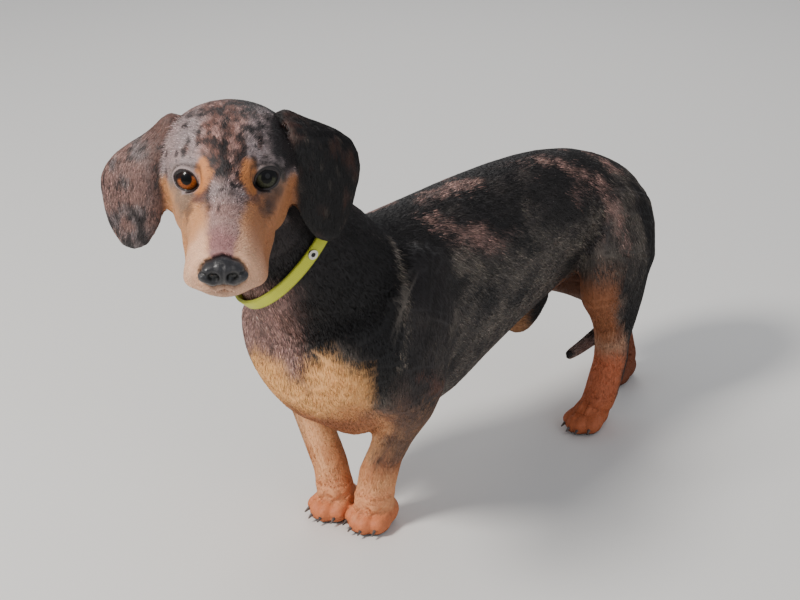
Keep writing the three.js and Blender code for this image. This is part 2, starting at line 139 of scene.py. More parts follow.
def from_line(points, line):
    """Distance of each point from a line of points, and the share of the line's length there."""
    line = np.asarray(line, float)
    best = np.full(len(points), 1e9)
    share = np.zeros(len(points))
    if len(line) == 1:
        return np.linalg.norm(points - line[0], axis=1), share
    for i in range(len(line) - 1):
        start, step = line[i], line[i + 1] - line[i]
        t = np.clip((points - start) @ step / (step @ step), 0, 1)
        distance = np.linalg.norm(points - start - t[:, None] * step, axis=1)
        nearer = distance < best
        best[nearer] = distance[nearer]
        share[nearer] = (i + t[nearer]) / (len(line) - 1)
    return best, share


class Surface:
    """One triangle mesh as arrays, in the dog's frame."""

    def __init__(self, points, triangles):
        self.points = points
        self.triangles = triangles
        pairs = np.sort(triangles[:, [0, 1, 1, 2, 2, 0]].reshape(-1, 2), axis=1)
        self.edges = np.unique(pairs, axis=0)
        self.degree = np.bincount(self.edges.ravel(), minlength=len(points))

    @classmethod
    def of_mesh(cls, mesh):
        """The surface of a Blender mesh in the model's frame."""
        mesh.calc_loop_triangles()
        points = np.zeros(len(mesh.vertices) * 3, np.float32)
        mesh.vertices.foreach_get("co", points)
        triangles = np.zeros(len(mesh.loop_triangles) * 3, np.int32)
        mesh.loop_triangles.foreach_get("vertices", triangles)
        return cls(from_model(points.reshape(-1, 3)), triangles.reshape(-1, 3))

    def mean_of_neighbours(self, values):
        """The mean of a value over each point's neighbours."""
        a, b = self.edges.T
        flat = values.reshape(len(values), -1)
        total = np.empty_like(flat, dtype=float)
        for k in range(flat.shape[1]):
            total[:, k] = np.bincount(a, flat[b, k], len(flat)) + np.bincount(b, flat[a, k], len(flat))
        return (total / np.maximum(self.degree, 1)[:, None]).reshape(values.shape)

    def soften(self, values, rounds):
        """A value spread over the surface."""
        for _ in range(rounds):
            values = values * 0.5 + self.mean_of_neighbours(values) * 0.5
        return values

    def smooth(self, weight, rounds):
        """Smooths the form; weight, from 0 to 1 at each point, says how much."""
        for _ in range(rounds):
            step = self.mean_of_neighbours(self.points) - self.points
            self.points = self.points + step * (weight * 0.6)[:, None]

    def face_normals(self):
        """Normal of each triangle, as long as twice its area."""
        a, b, c = (self.points[self.triangles[:, k]] for k in range(3))
        return np.cross(b - a, c - a)

    def normals(self):
        """Normal of each point."""
        faces = self.face_normals()
        total = np.zeros_like(self.points)
        for k in range(3):
            for axis in range(3):
                total[:, axis] += np.bincount(self.triangles[:, k], faces[:, axis], len(self.points))
        return unit(total)

    def tree(self):
        """Blender's search tree of the surface."""
        return BVHTree.FromPolygons(self.points.tolist(), self.triangles.tolist())


def new_object(name, mesh):
    """A piece in the scene."""
    mesh.name = name
    made = bpy.data.objects.new(name, mesh)
    bpy.context.scene.collection.objects.link(made)
    return made


def mesh_of(bm, name):
    """The mesh of a finished bmesh."""
    mesh = bpy.data.meshes.new(name)
    bm.to_mesh(mesh)
    bm.free()
    return mesh


def shade_smooth(mesh):
    """Smooth shading on every face."""
    mesh.polygons.foreach_set("use_smooth", np.ones(len(mesh.polygons), bool))
    mesh.update()


def applied(carrier):
    """The mesh that an object's modifiers make; the object and its own mesh go."""
    before = carrier.data
    bpy.context.view_layer.update()
    graph = bpy.context.evaluated_depsgraph_get()
    made = bpy.data.meshes.new_from_object(carrier.evaluated_get(graph))
    bpy.data.objects.remove(carrier)
    bpy.data.meshes.remove(before)
    return made


def fused(solids, voxel):
    """One closed mesh of a bmesh of solids, in voxels of a size in metres."""
    carrier = new_object("step", mesh_of(solids, "step"))
    modifier = carrier.modifiers.new("fused", "REMESH")
    modifier.mode = "VOXEL"
    modifier.voxel_size = voxel
    modifier.adaptivity = 0.0
    return applied(carrier)


def joined_nodes(names, outward=0.0):
    """A bmesh of copies of CAD nodes, each merged and moved outward by some metres."""
    whole = bmesh.new()
    for name in names:
        part = bmesh.new()
        part.from_mesh(NODES[name].data)
        bmesh.ops.remove_doubles(part, verts=part.verts, dist=1e-6)
        part.normal_update()
        for vertex in part.verts:
            vertex.co += vertex.normal * outward
        step = bpy.data.meshes.new("step")
        part.to_mesh(step)
        part.free()
        whole.from_mesh(step)
        bpy.data.meshes.remove(step)
    return whole


# Sizes and colours that a user would change.


def colour_property(name, description, default):
    """A colour that a user may change."""
    return bpy.props.FloatVectorProperty(
        name=name, description=description, default=default, subtype="COLOR", size=3, min=0, max=1
    )


def number_property(name, description, default, **kind):
    """A number that a user may change, with its unit or subtype."""
    return bpy.props.FloatProperty(name=name, description=description, default=default, min=0, **kind)


def length_property(name, description, default):
    """A length in metres that a user may change."""
    return number_property(name, description, default, unit="LENGTH")


class SkinSettings(bpy.types.PropertyGroup):
    """Sizes of the skin."""

    grain: length_property("Grain", "Edge length of the finest skin", 0.0010)
    coat_depth: length_property("Coat depth", "How far the body's skin lies inside the solids", 0.0006)
    faces: bpy.props.IntProperty(
        name="Faces", description="Triangles of the skin before the sculpting", default=150000, min=1000
    )


class CoatSettings(bpy.types.PropertyGroup):
    """How thick and long the coat is."""

    density: number_property("Density", "Share of the full number of tufts", 1)
    length: number_property("Length", "Share of the full length of a tuft", 1)
    spread: number_property("Spread", "How far tufts turn from the lie of the coat", 0.16, subtype="ANGLE")


class FaceSettings(bpy.types.PropertyGroup):
    """Colours of the eyes, nose and claws."""

    amber: colour_property("Right iris", "Colour of the right iris", (0.14, 0.036, 0.006))
    hazel: colour_property("Left iris", "Colour of the left iris", (0.024, 0.025, 0.015))
    leather: colour_property("Nose", "Colour of the nose leather", (0.0065, 0.006, 0.008))
    horn: colour_property("Claws", "Colour of the claws", (0.045, 0.034, 0.030))


class CollarSettings(bpy.types.PropertyGroup):
    """The collar."""

    band: colour_property("Band", "Colour of the woven band", (0.50, 0.53, 0.028))
    metal: colour_property("Eyelet", "Colour of the eyelet", (0.62, 0.60, 0.56))
    rounding: length_property("Rounding", "Radius of the band's edges", 0.0005)


class StageSettings(bpy.types.PropertyGroup):
    """The floor, the light and the camera."""

    floor: colour_property("Floor", "Colour of the studio floor", (0.78, 0.77, 0.75))
    lens: number_property("Lens", "Focal length in millimetres", 72, unit="CAMERA")
    key: number_property("Key light", "Power of the main light in watts", 44, unit="POWER")
    fill: number_property("Fill light", "Power of the second light in watts", 4, unit="POWER")
    rim: number_property("Rim light", "Power of the light from behind in watts", 5, unit="POWER")


# Materials.


class Value:
    """A socket that can be used in sums; each sum adds its Math node."""

    def __init__(self, sheet, socket):
        self.sheet = sheet
        self.socket = socket

    def _math(self, operation, *values):
        return self.sheet.node("ShaderNodeMath", {"operation": operation}, *values)

    def __add__(self, other):
        return self._math("ADD", self, other)

    __radd__ = __add__

    def __sub__(self, other):
        return self._math("SUBTRACT", self, other)

    def __rsub__(self, other):
        return self._math("SUBTRACT", other, self)

    def __mul__(self, other):
        return self._math("MULTIPLY", self, other)

    __rmul__ = __mul__

    def __pow__(self, other):
        return self._math("POWER", self, other)

    def below(self, limit):
        """1 where the value is below a limit."""
        return self._math("LESS_THAN", self, limit)

    def wave(self):
        """The sine of the value."""
        return self._math("SINE", self)

    def between(self, low, high):
        """0 at low, 1 at high and smooth between."""
        return self.sheet.node(
            "ShaderNodeMapRange", {"interpolation_type": "SMOOTHSTEP"}, self, low, high, 0.0, 1.0
        )


# places of a Mix node's sockets for colours
MIX_SHARE = 0
MIX_FIRST = 6
MIX_SECOND = 7
MIX_COLOUR = 2


def tinted(colour, share):
    """A colour made darker or paler."""
    return tuple(min(1, channel * share) for channel in colour)


class Sheet:
    """The node sheet of one material."""

    def __init__(self, name):
        self.material = bpy.data.materials.new(name)
        self.material.use_nodes = True
        self.tree = self.material.node_tree
        self.shader = self.tree.nodes["Principled BSDF"]

    def node(self, kind, settings, *values, output=0, **named):
        """Adds a node of any kind; its settings come first, then values or links for its sockets."""
        made = self.tree.nodes.new(kind)
        for key, value in settings.items():
            setattr(made, key, value)
        for key, value in [*enumerate(values), *named.items()]:
            self.feed(made.inputs[key], value)
        return Value(self, made.outputs[output])

    def feed(self, socket, value):
        """Links a value to a socket, or sets the socket to a number."""
        if isinstance(value, Value):
            self.tree.links.new(value.socket, socket)
        else:
            socket.default_value = value

    def mixed(self, share, first, second):
        """A colour between two others, each a link or three channels."""
        made = self.tree.nodes.new("ShaderNodeMix")
        made.data_type = "RGBA"
        self.feed(made.inputs[MIX_SHARE], share)
        for socket, colour in ((MIX_FIRST, first), (MIX_SECOND, second)):
            self.feed(made.inputs[socket], colour if isinstance(colour, Value) else (*colour, 1))
        return Value(self, made.outputs[MIX_COLOUR])

    def place(self, scale=(1, 1, 1), turn=(0, 0, 0), centre=(0, 0, 0)):
        """Object coordinates, moved to a centre, turned and scaled."""
        coordinates = self.node("ShaderNodeTexCoord", {}, output="Object")
        return self.node("ShaderNodeMapping", {"vector_type": "TEXTURE"}, coordinates, centre, turn, scale)

    def axes(self, vector):
        """The three numbers of a vector."""
        return [self.node("ShaderNodeSeparateXYZ", {}, vector, output=k) for k in range(3)]

    def noise(self, vector, scale, detail=2.0, roughness=0.5):
        """A noise pattern, about 0.5 on average."""
        sockets = {"Vector": vector, "Scale": scale, "Detail": detail, "Roughness": roughness}
        return self.node("ShaderNodeTexNoise", {}, output="Fac", **sockets)

    def attribute(self, name, output="Color"):
        """What the mesh keeps under a name."""
        return self.node("ShaderNodeAttribute", {"attribute_name": name}, output=output)

    def bump(self, height, strength, distance):
        """Normals of a height of so many metres."""
        sockets = {"Strength": strength, "Distance": distance, "Height": height}
        return self.node("ShaderNodeBump", {}, output="Normal", **sockets)

    def finish(self, **sockets):
        """Feeds the shader and gives the material."""
        for name, value in sockets.items():
            self.feed(self.shader.inputs[name.replace("_", " ")], value)
        return self.material


def skin_material():
    """Short fur seen close: the markings, broken by fine streaks."""
    sheet = Sheet("short fur")
    vector = sheet.place()
    grain = sheet.noise(vector, 900, 3, 0.6)
    marking = sheet.attribute("marking")
    dark = sheet.node("ShaderNodeVectorMath", {"operation": "SCALE"}, marking, Scale=0.88)
    bare = sheet.attribute("bare", "Fac")
    height = sheet.noise(vector, 1400, 2)
    return sheet.finish(
        Base_Color=sheet.mixed(grain.between(0.35, 0.65), dark, marking),
        Roughness=0.62 - bare * 0.34,
        Normal=sheet.bump(height, 0.35, 0.0004),
        Specular_IOR_Level=0.4,
    )


def coat_material(name, gloss):
    """Hair: each tuft's own colour."""
    sheet = Sheet(name)
    marking = sheet.attribute("marking")
    return sheet.finish(Base_Color=marking, Roughness=gloss, Specular_IOR_Level=0.35)


def eye_material(name, iris, side):
    """A wet ball with a streaked iris round its pupil."""
    sheet = Sheet(name)
    gaze = eye_gaze(side)
    across = unit(np.cross((0, 0, 1), gaze))
    up = np.cross(gaze, across)
    turn = Matrix(np.array([across, up, gaze]).T.tolist()).to_euler()
    centre = to_model(eye_centre(side))
    vector = sheet.place(centre=tuple(centre), turn=tuple(turn))
    x, y, z = sheet.axes(vector)
    radius = (x * x + y * y) ** 0.5
    angle = sheet.node("ShaderNodeMath", {"operation": "ARCTAN2"}, y, x)
    ring = sheet.node("ShaderNodeCombineXYZ", {}, angle * 2.2, radius * 260, z * 0)
    streak = sheet.noise(ring, 3.2, 3, 0.65)
    iris_edge, pupil_edge = IRIS_RADIUS / 1000, PUPIL_RADIUS / 1000
    fibres = sheet.mixed(streak.between(0.32, 0.68), iris, tinted(iris, 2.4))
    rim = radius.between(iris_edge * 0.66, iris_edge * 0.98)
    pupil = radius.between(pupil_edge * 1.12, pupil_edge * 0.92)
    clear = sheet.mixed(pupil, sheet.mixed(rim, fibres, tinted(iris, 0.15)), (0.002, 0.002, 0.002))
    # the upper lid and its lashes shade the top of the eye
    shade = (y + x * (0.25 * side)).between(0.0, 0.0016) * 0.96
    seen = sheet.mixed(shade, clear, (0.003, 0.003, 0.004))
    white = radius.between(iris_edge, iris_edge * 1.08)
    veins = sheet.noise(vector, 700, 4, 0.7)
    sclera = sheet.mixed(veins.between(0.4, 0.7), (0.07, 0.045, 0.035), (0.04, 0.02, 0.016))
    back = z.below(0.0)
    return sheet.finish(
        Base_Color=sheet.mixed(back, sheet.mixed(white, seen, sclera), (0.1, 0.05, 0.04)),
        Roughness=0.3,
        Specular_IOR_Level=0.05,
        Coat_Weight=0.28,
        Coat_Roughness=0.01,
    )


def nose_material(leather):
    """Nose leather: small raised cells with a damp shine."""
    sheet = Sheet("nose leather")
    vector = sheet.place()
    kind = {"feature": "DISTANCE_TO_EDGE"}
    cells = sheet.node("ShaderNodeTexVoronoi", kind, output="Distance", Vector=vector, Scale=1400.0)
    bead = cells.between(0.0, 0.22)
    cloudy = sheet.noise(vector, 260, 3)
    # inside the nostrils the leather is painted near black, a painted shade of their depth
    nostril_shade = sheet.attribute("hollow", "Fac").between(0.2, 0.55)
    beaded = sheet.mixed(cloudy.between(0.3, 0.7) * bead, leather, tinted(leather, 2))
    return sheet.finish(
        Base_Color=sheet.mixed(nostril_shade, beaded, (0.001, 0.001, 0.001)),
        Roughness=0.46 - bead * 0.12,
        Normal=sheet.bump(bead + cloudy * 0.4, 0.28, 0.0003),
        Specular_IOR_Level=0.4,
        Coat_Weight=0.4,
        Coat_Roughness=0.28,
    )


def horn_material(horn):
    """Claws: dark horn with fine lines along it."""
    sheet = Sheet("claw horn")
    vector = sheet.place(scale=(1, 1, 0.2))
    line = sheet.noise(vector, 1500, 3)
    cloudy = sheet.noise(sheet.place(), 300, 2)
    return sheet.finish(
        Base_Color=sheet.mixed(cloudy.between(0.35, 0.75) * 0.6 + line * 0.15, horn, tinted(horn, 3.2)),
        Roughness=0.34,
        Normal=sheet.bump(line, 0.25, 0.0002),
    )


RIBS_IN_A_TURN = 258
STITCHES_IN_A_TURN = 110
THREAD = 0.00075


def band_material(band, eyelet):
    """A woven band: ribs across it, two rows of stitches, soiled edges, and a hole in its eyelet painted
    near black as a painted shadow.
    """
    sheet = Sheet("woven band")
    around, along, _ = sheet.axes(sheet.attribute("weave", "Vector"))
    rib = (around * (2 * math.pi * RIBS_IN_A_TURN)).wave() * 0.5 + 0.5
    thread = (along * (2 * math.pi / THREAD)).wave() * 0.5 + 0.5
    edge = (along * along) ** 0.5
    stitch_row = edge.between(0.00205, 0.0024) * (1 - edge.between(0.0026, 0.0029))
    stitch = stitch_row * (around * (2 * math.pi * STITCHES_IN_A_TURN)).wave().between(-0.6, 0.2)
    vector = sheet.place()
    soil = sheet.noise(vector, 120, 4) * 0.6 + edge.between(0.0022, 0.0036) * 0.5
    woven = sheet.mixed(rib * 0.5 + thread * 0.3, band, tinted(band, 1.25))
    soiled = sheet.mixed(soil.between(0.25, 0.95) * 0.75, woven, tinted(band, 0.55))
    # inside the eyelet the band is painted near black: a painted shadow where the hole is
    gap = sheet.node("ShaderNodeVectorMath", {"operation": "DISTANCE"}, vector, eyelet, output="Value")
    return sheet.finish(
        Base_Color=sheet.mixed(gap.between(0.0019, 0.0016), soiled, (0.004, 0.004, 0.004)),
        Roughness=0.5 + soil * 0.15,
        Normal=sheet.bump(rib * 0.5 + thread * 0.35 + stitch * 1.2, 0.7, 0.0002),
    )


def metal_material(metal):
    """A small plated ring, a little worn."""
    sheet = Sheet("plated metal")
    worn = sheet.noise(sheet.place(), 900, 3)
    return sheet.finish(
        Base_Color=sheet.mixed(worn.between(0.4, 0.7) * 0.6, metal, tinted(metal, 0.6)),
        Metallic=1.0,
        Roughness=0.2 + worn * 0.2,
        Normal=sheet.bump(worn, 0.1, 0.0001),
    )


# Parts of the body.

FLESH = [
    name
    for name in NODES
    if name.split("_")[0] in ("head", "neck", "torso", "ear", "front", "hind", "tail")
]
PARTS = ["head", "ear_left", "ear_right", "neck", "torso"]
PARTS += ["front_leg", "front_paw", "hind_leg", "hind_paw", "tail"]
# how far each solid reaches into the gaps between solids, in metres
SKIN_GAP = 0.0004


def part_of(node):
    """Number of the part that a CAD node belongs to."""
    return next(i for i, part in enumerate(PARTS) if node.startswith(part))


def solids_tree(names):
    """A search tree of CAD nodes in the dog's frame, and the node of each triangle."""
    points, triangles, owner = [], [], []
    start = 0
    for name in names:
        node = Surface.of_mesh(NODES[name].data)
        points.append(node.points)
        triangles.append(node.triangles + start)
        owner += [name] * len(node.triangles)
        start += len(node.points)
    tree = BVHTree.FromPolygons(np.concatenate(points).tolist(), np.concatenate(triangles).tolist())
    return tree, owner


def shares_of_parts(surface, rounds):
    """How much each point belongs to each part, by the nearest solid, softened at the joins."""
    tree, owner = solids_tree(FLESH)
    owner = np.array([part_of(name) for name in owner])
    nearest = np.array([tree.find_nearest(point)[2] for point in surface.points.tolist()])
    return surface.soften(np.eye(len(PARTS))[owner[nearest]], rounds)


def distance_to(surface, names, reach):
    """Distance of each point from some solids, up to a reach."""
    tree, _ = solids_tree(names)
    found = np.full(len(surface.points), reach)
    for i, point in enumerate(surface.points.tolist()):
        distance = tree.find_nearest(point, reach)[3]
        if distance is not None:
            found[i] = distance
    return found


# Eyes.

IRIS_RADIUS = 6.1
PUPIL_RADIUS = 2.9
# the clear front of the eye
CLEAR_RADIUS = 6.7
CLEAR_HEIGHT = 0.55
EYE_UPWARD = math.radians(11)
# how far from the eyeball's centre the edges of the lids may lie
LID_REACH = 11.2
CAMERA_YAW = math.radians(42.4)
CAMERA_PITCH = math.radians(22.5)
CAMERA_PLACE = np.array([615.91, -745.69, 513.27])


def eye_centre(side):
    """Centre of an eyeball; side is 1 for the left eye and -1 for the right."""
    return from_model(box_centre("eye_left" if side > 0 else "eye_right") / 1000)


def eye_axes(side):
    """Across, up and outward axes of an eye's opening."""
    level = math.cos(EYE_UPWARD)
    outward = (side * math.sin(EYE_OUTWARD) * level, -math.cos(EYE_OUTWARD) * level, math.sin(EYE_UPWARD))
    gaze = HEAD_AXES @ outward
    across = unit(np.cross((0, 0, 1), gaze))
    return across, np.cross(gaze, across), gaze


def eye_gaze(side):
    """Each eye looks along its opening, turned a little towards the camera."""
    return unit(eye_axes(side)[2] * 0.75 + unit(CAMERA_PLACE - eye_centre(side)) * 0.25)


def lid_outline(side):
    """The eye's opening, in millimetres on the front of the ball, from its nasal corner."""
    upper = [(-6.8, -3.2), (-5.4, 0.9), (-3.1, 3.4), (0.0, 4.5), (3.1, 4.3), (5.3, 3.0), (6.5, 1.1)]
    lower = [(5.8, -1.6), (3.8, -3.8), (0.7, -5.1), (-2.8, -5.4), (-5.4, -4.9)]
    return closed_curve(np.array(upper + lower) * (side, 1))


def on_eye(points, side):
    """Distance from the eyeball's centre, and place on its front as if rolled out flat."""
    across, up, gaze = eye_axes(side)
    offset = points - eye_centre(side)
    distance = np.linalg.norm(offset, axis=1)
    way = offset / distance[:, None]
    flat = np.stack([way @ across, way @ up], 1)
    angle = np.arccos(np.clip(way @ gaze, -1, 1))
    return distance, unit(flat) * (angle * EYE_RADIUS)[:, None]


def closed_curve(corners, count=72):
    """A smooth closed curve through some points."""
    corners = np.asarray(corners, float)
    n = len(corners)
    t = np.linspace(0, n, count, endpoint=False)
    i = t.astype(int)
    s = (t - i)[:, None]
    before, start, end, after = (corners[(i + k) % n] for k in (-1, 0, 1, 2))
    bend = 2 * before - 5 * start + 4 * end - after + s * (3 * (start - end) + after - before)
    return start + 0.5 * s * (end - before + s * bend)


def outside(places, curve):
    """Distance of flat points from a closed curve, negative inside it."""
    best = np.full(len(places), 1e9)
    inside = np.zeros(len(places), bool)
    ends = np.roll(curve, -1, axis=0)
    for start, end in zip(curve, ends):
        step = end - start
        t = np.clip((places - start) @ step / (step @ step), 0, 1)
        best = np.minimum(best, np.linalg.norm(places - start - t[:, None] * step, axis=1))
        crosses = (start[1] > places[:, 1]) != (end[1] > places[:, 1])
        rise = np.where(abs(step[1]) < 1e-9, 1e-9, step[1])
        inside ^= crosses & (places[:, 0] < start[0] + (places[:, 1] - start[1]) * step[0] / rise)
    return np.where(inside, -best, best)


def lid_margin(points, side):
    """Distance of points from the edge of an eye's opening; far ones get a large number."""
    distance, place = on_eye(points, side)
    margin = np.full(len(points), 99.0)
    near = (distance < 24) & (np.linalg.norm(place, axis=1) < 21)
    # seen from the ball, the side of the muzzle lies in the same direction as the nasal corner
    margin[near] = np.maximum(outside(place[near], lid_outline(side)), distance[near] - LID_REACH)
    return margin, near, distance, place


def paint_lids(colour, points):
    """Pale lids round the right eye and dark lids round the left, a painted shadow in the crease above
    each, and black edges.
    """
    for side in (1, -1):
        margin, near, _, place = lid_margin(points, side)
        above = np.zeros(len(points))
        above[near] = ramp(place[near][:, 1], -1.0, 2.0)
        pale = LID if side < 0 else LID * 0.16
        colour = lay(colour, pale, ramp(margin, 2.6 - 1.0 * (1 - above), 0.9) * 0.75)
        # the crease above the lid is painted dark: painted shade in the fold
        crease = np.exp(-(((margin - 3.2) / 0.7) ** 2)) * above
        colour = lay(colour, SOOT, crease * 0.7)
        edge = 0.15 + 0.35 * above + (0.6 if side > 0 else 0)
        colour = lay(colour, BLACK, ramp(margin - edge, 0.25, -0.05))
    return colour


def sculpt_lids(surface):
    """Presses the skin round each eyeball into an upper and a lower lid."""
    for side in (1, -1):
        margin, near, distance, place = lid_margin(surface.points, side)
        margin, was, place = margin[near], distance[near], place[near]
        above = ramp(place[:, 1], -1.5, 1.5)
        # behind the ball inside the opening, a rolled edge at the margin, then the lid over the ball
        lid = EYE_RADIUS - 1.5 + 2.1 * ramp(margin, -0.5, 0.25)
        lid = lid + (0.3 + 0.45 * above) * ramp(margin, 0.0, 0.9)
        lid = lid - (0.2 + 0.6 * above) * np.exp(-(((margin - 3.0 - 0.4 * above) / 0.75) ** 2))
        back = ramp(margin, 2.4, 7.0)
        made = lid * (1 - back) + np.maximum(was, EYE_RADIUS + 0.5) * back
        # the side of the muzzle, which runs on from the nasal corner, keeps its place
        made = was + (made - was) * ramp(np.linalg.norm(place, axis=1), 21, 16) * ramp(was, 15.5, 12)
        centre = eye_centre(side)
        surface.points[near] = centre + unit(surface.points[near] - centre) * made[:, None]
        relaxed = np.zeros(len(surface.points))
        relaxed[near] = ramp(margin, 3.6, 5.0) * ramp(distance[near], 21, 16)
        relaxed[near] = np.maximum(relaxed[near], ramp(margin, 1.2, 2.2) * ramp(distance[near], 10.8, 12))
        surface.smooth(relaxed, 14)


# The form of the skin.

# turns head coordinates of the left side into those of the right
MIRRORED = (-1, 1, 1)
# the line of the mouth on the dog's left, in head coordinates, from its corner to the front
MOUTH = [(24, -4, -29.5), (22.8, -18, -34), (21.4, -32, -36)]
MOUTH += [(18.6, -48, -36.6), (13, -62, -36), (0, -69.5, -35)]
# swellings and hollows: place, half sizes, height, name. Those of the head are in head coordinates
HEAD_PAIRS = [
    ((11, 0, 16), (9, 9, 6), 0.9, "inner brow"),
    ((25, 5, 10), (8, 8, 5), 1.1, "outer brow"),
    ((29, 2, -6), (5, 13, 4), 0.6, "cheekbone"),
    ((32, 11, -20), (9, 18, 13), -4.4, "flat of the cheek"),
    ((23, -3, -28), (5, 8, 7), 1.0, "corner of the mouth"),
    ((22, -30, -26), (8, 17, 13), -2.2, "side of the muzzle"),
    ((21, -13, -15), (6, 11, 5), -0.8, "below the eye"),
    ((12, -24, -1), (5, 14, 6), -0.8, "side of the bridge"),
    ((18, -54, -31), (7, 11, 7), 1.5, "pad of the upper lip"),
    ((7.5, -62, -29), (5, 5, 7), 0.8, "front of the lip"),
    ((28, 26, 14), (8, 14, 9), 0.7, "temple"),
]
HEAD_MIDDLE = [
    ((0, 12, 27), (4, 17, 9), -0.9, "furrow of the forehead"),
    ((0, -14, 5), (6, 9, 7), -0.6, "stop"),
    ((0, -70, -30), (1.5, 9, 5), -1.3, "groove under the nose"),
    ((0, 55, 20), (9, 12, 10), 0.7, "back of the skull"),
]
BODY_SWELLS = [
    ((12, -180, 120), (16, 14, 30), 1.4, "breastbone"),
    ((24, -171, 135), (6, 9, 28), -1.6, "between the chest's lobes"),
    ((0, -176, 160), (9, 12, 14), -1.6, "foot of the throat"),
    ((48, -140, 132), (13, 16, 20), 1.4, "left point of the shoulder"),
    ((-44, -140, 132), (13, 16, 20), 1.4, "right point of the shoulder"),
    ((44, -92, 176), (8, 18, 15), 1.3, "left shoulder blade"),
    ((-44, -92, 176), (8, 18, 15), 1.3, "right shoulder blade"),
    ((61, -104, 104), (7, 8, 9), 2.0, "left elbow"),
    ((-61, -108, 104), (7, 8, 9), 2.0, "right elbow"),
    ((46, 80, 128), (10, 15, 26), 1.2, "left thigh"),
    ((-46, 86, 128), (10, 15, 26), 1.2, "right thigh"),
    ((40, 78, 92), (9, 8, 8), 1.4, "left knee"),
    ((-38, 92, 92), (9, 8, 8), 1.4, "right knee"),
    ((40, 28, 132), (12, 26, 16), -1.4, "left flank"),
    ((-40, 28, 132), (12, 26, 16), -1.4, "right flank"),
    ((54, -84, 148), (9, 8, 32), -1.5, "behind the left shoulder"),
    ((-54, -84, 148), (9, 8, 32), -1.5, "behind the right shoulder"),
    ((-47, -158, 150), (13, 18, 15), 4.0, "right side of the neck's foot"),
    ((14, -124, 206), (20, 22, 14), 3.0, "withers"),
    ((18, -134, 76), (22, 16, 13), 4.0, "keel of the chest"),
    ((50, 133, 138), (11, 14, 20), 2.0, "left buttock"),
    ((16, 160, 164), (15, 14, 13), -2.0, "root of the tail"),
    ((44, 108, 62), (7, 6, 8), 1.0, "left hock"),
    ((24, -96, 44), (6, 6, 7), 0.9, "left wrist pad"),
    ((-22, -104, 46), (6, 6, 7), 0.9, "right wrist pad"),
]
# folds: a line, half its width and its height; a crease is negative
BODY_FOLDS = [
    ([(24, -176, 168), (6, -186, 160), (-12, -184, 164)], 3.0, -0.9),
    ([(34, -164, 184), (12, -186, 173), (-12, -188, 178)], 3.4, 1.2),
    ([(48, -138, 172), (32, -166, 158), (10, -180, 150)], 3.6, 0.8),
    ([(21, -107, 193), (38, -117, 181), (51, -125, 166), (57, -129, 150), (59, -138, 129)], 3.2, 0.9),
    ([(26, -101, 193), (43, -110, 181), (56, -117, 166), (62, -121, 150)], 3.0, -0.7),
    ([(63, -122, 118), (64, -112, 110), (61, -98, 108)], 2.4, -0.7),
    ([(34, -120, 62), (28, -124, 56), (20, -124, 54)], 2.2, -0.6),
    ([(30, -120, 50), (24, -124, 46), (14, -122, 45)], 2.2, 0.6),
    ([(-30, -122, 60), (-24, -126, 55), (-18, -124, 53)], 2.2, -0.5),
    ([(42, 84, 90), (46, 92, 98), (50, 104, 104)], 3.0, -0.7),
    ([(30, 60, 120), (36, 64, 112), (42, 72, 106)], 3.6, 0.8),
]


# the fold of skin that ties the sheath to the belly, an egg: its middle and its half sizes
FOLD_MIDDLE = (0.0, 48.0, 95.0)
FOLD_REACH = (6.0, 17.0, 9.0)


def lift_round(points, place, sizes, height):
    """Height of a round swelling or hollow at each point."""
    near = np.linalg.norm((points - place) / np.asarray(sizes, float), axis=1)
    return height * np.exp(-(near**2) * 1.3)


def lift_along(points, tree, line, width, height):
    """Height of a fold along a line laid on the skin."""
    laid = [tree.find_nearest(tuple(point))[0] for point in line]
    distance, share = from_line(points, laid)
    fade = np.sin(np.clip(share, 0.03, 0.97) * math.pi) ** 0.5
    return height * fade * np.exp(-((distance / width) ** 2))


def lift_mouth(points, tree):
    """The parting of the lips, the upper lip hanging a little over the lower."""
    total = np.zeros(len(points))
    for side in (1, -1):
        line = from_head(np.array(MOUTH) * (side, 1, 1))
        laid = np.array([tree.find_nearest(tuple(point))[0] for point in line])
        distance, share = from_line(points, laid)
        level = np.interp(share, np.linspace(0, 1, len(MOUTH)), laid[:, 2])
        rise = points[:, 2] - level
        fade = ramp(share, 0.0, 0.15)
        groove = -1.5 * np.exp(-((distance / 0.8) ** 2))
        near = ramp(distance, 7, 3)
        lip = 0.7 * np.exp(-(((rise - 2.2) / 1.6) ** 2)) * near
        lower = 0.3 * np.exp(-(((rise + 1.9) / 1.2) ** 2)) * near
        lift = (groove + lip + lower) * fade
        total = np.where(np.abs(lift) > np.abs(total), lift, total)
    return total


PAWS = ("front_left", "front_right", "hind_left", "hind_right")
CLAWS_OF_A_PAW = 4


def claw_names(paw):
    """The nodes of a paw's claws, from side to side."""
    return [f"claw_{paw}_{number + 1}" for number in range(CLAWS_OF_A_PAW)]


def claw_ends(paw):
    """The roots and the tips of a paw's claws from side to side."""
    roots, tips = [], []
    for name in claw_names(paw):
        points = Surface.of_mesh(NODES[name].data).points
        ahead = points[:, 1].argsort()
        quarter = max(3, len(points) // 4)
        tips.append(points[ahead[:quarter]].mean(0))
        roots.append(points[ahead[-quarter:]].mean(0))
    return np.array(roots), np.array(tips)


def lift_toes(points, tree):
    """Rounded toes that reach out round their claws, with creases between them."""
    total = np.zeros(len(points))
    for paw in PAWS:
        roots, tips = claw_ends(paw)
        for root, tip in zip(roots, tips):
            way = unit(root - tip)
            total = np.maximum(total, lift_round(points, root - way * 1.2, (3.7, 4.4, 3.8), 3.8))
            knuckle = np.array(tree.find_nearest(tuple(root + way * 8 + (0, 0, 7)))[0])
            total = np.maximum(total, lift_round(points, knuckle, (3.6, 6.0, 4.5), 1.6))
        for left, right in zip(roots, roots[1:]):
            middle = (left + right) / 2
            line = middle + np.array([(0, 0, -3), (0, 3, 3), (0, 8, 8), (0, 15, 13)])
            total += lift_along(points, tree, line, 1.6, -3.4)
    return total


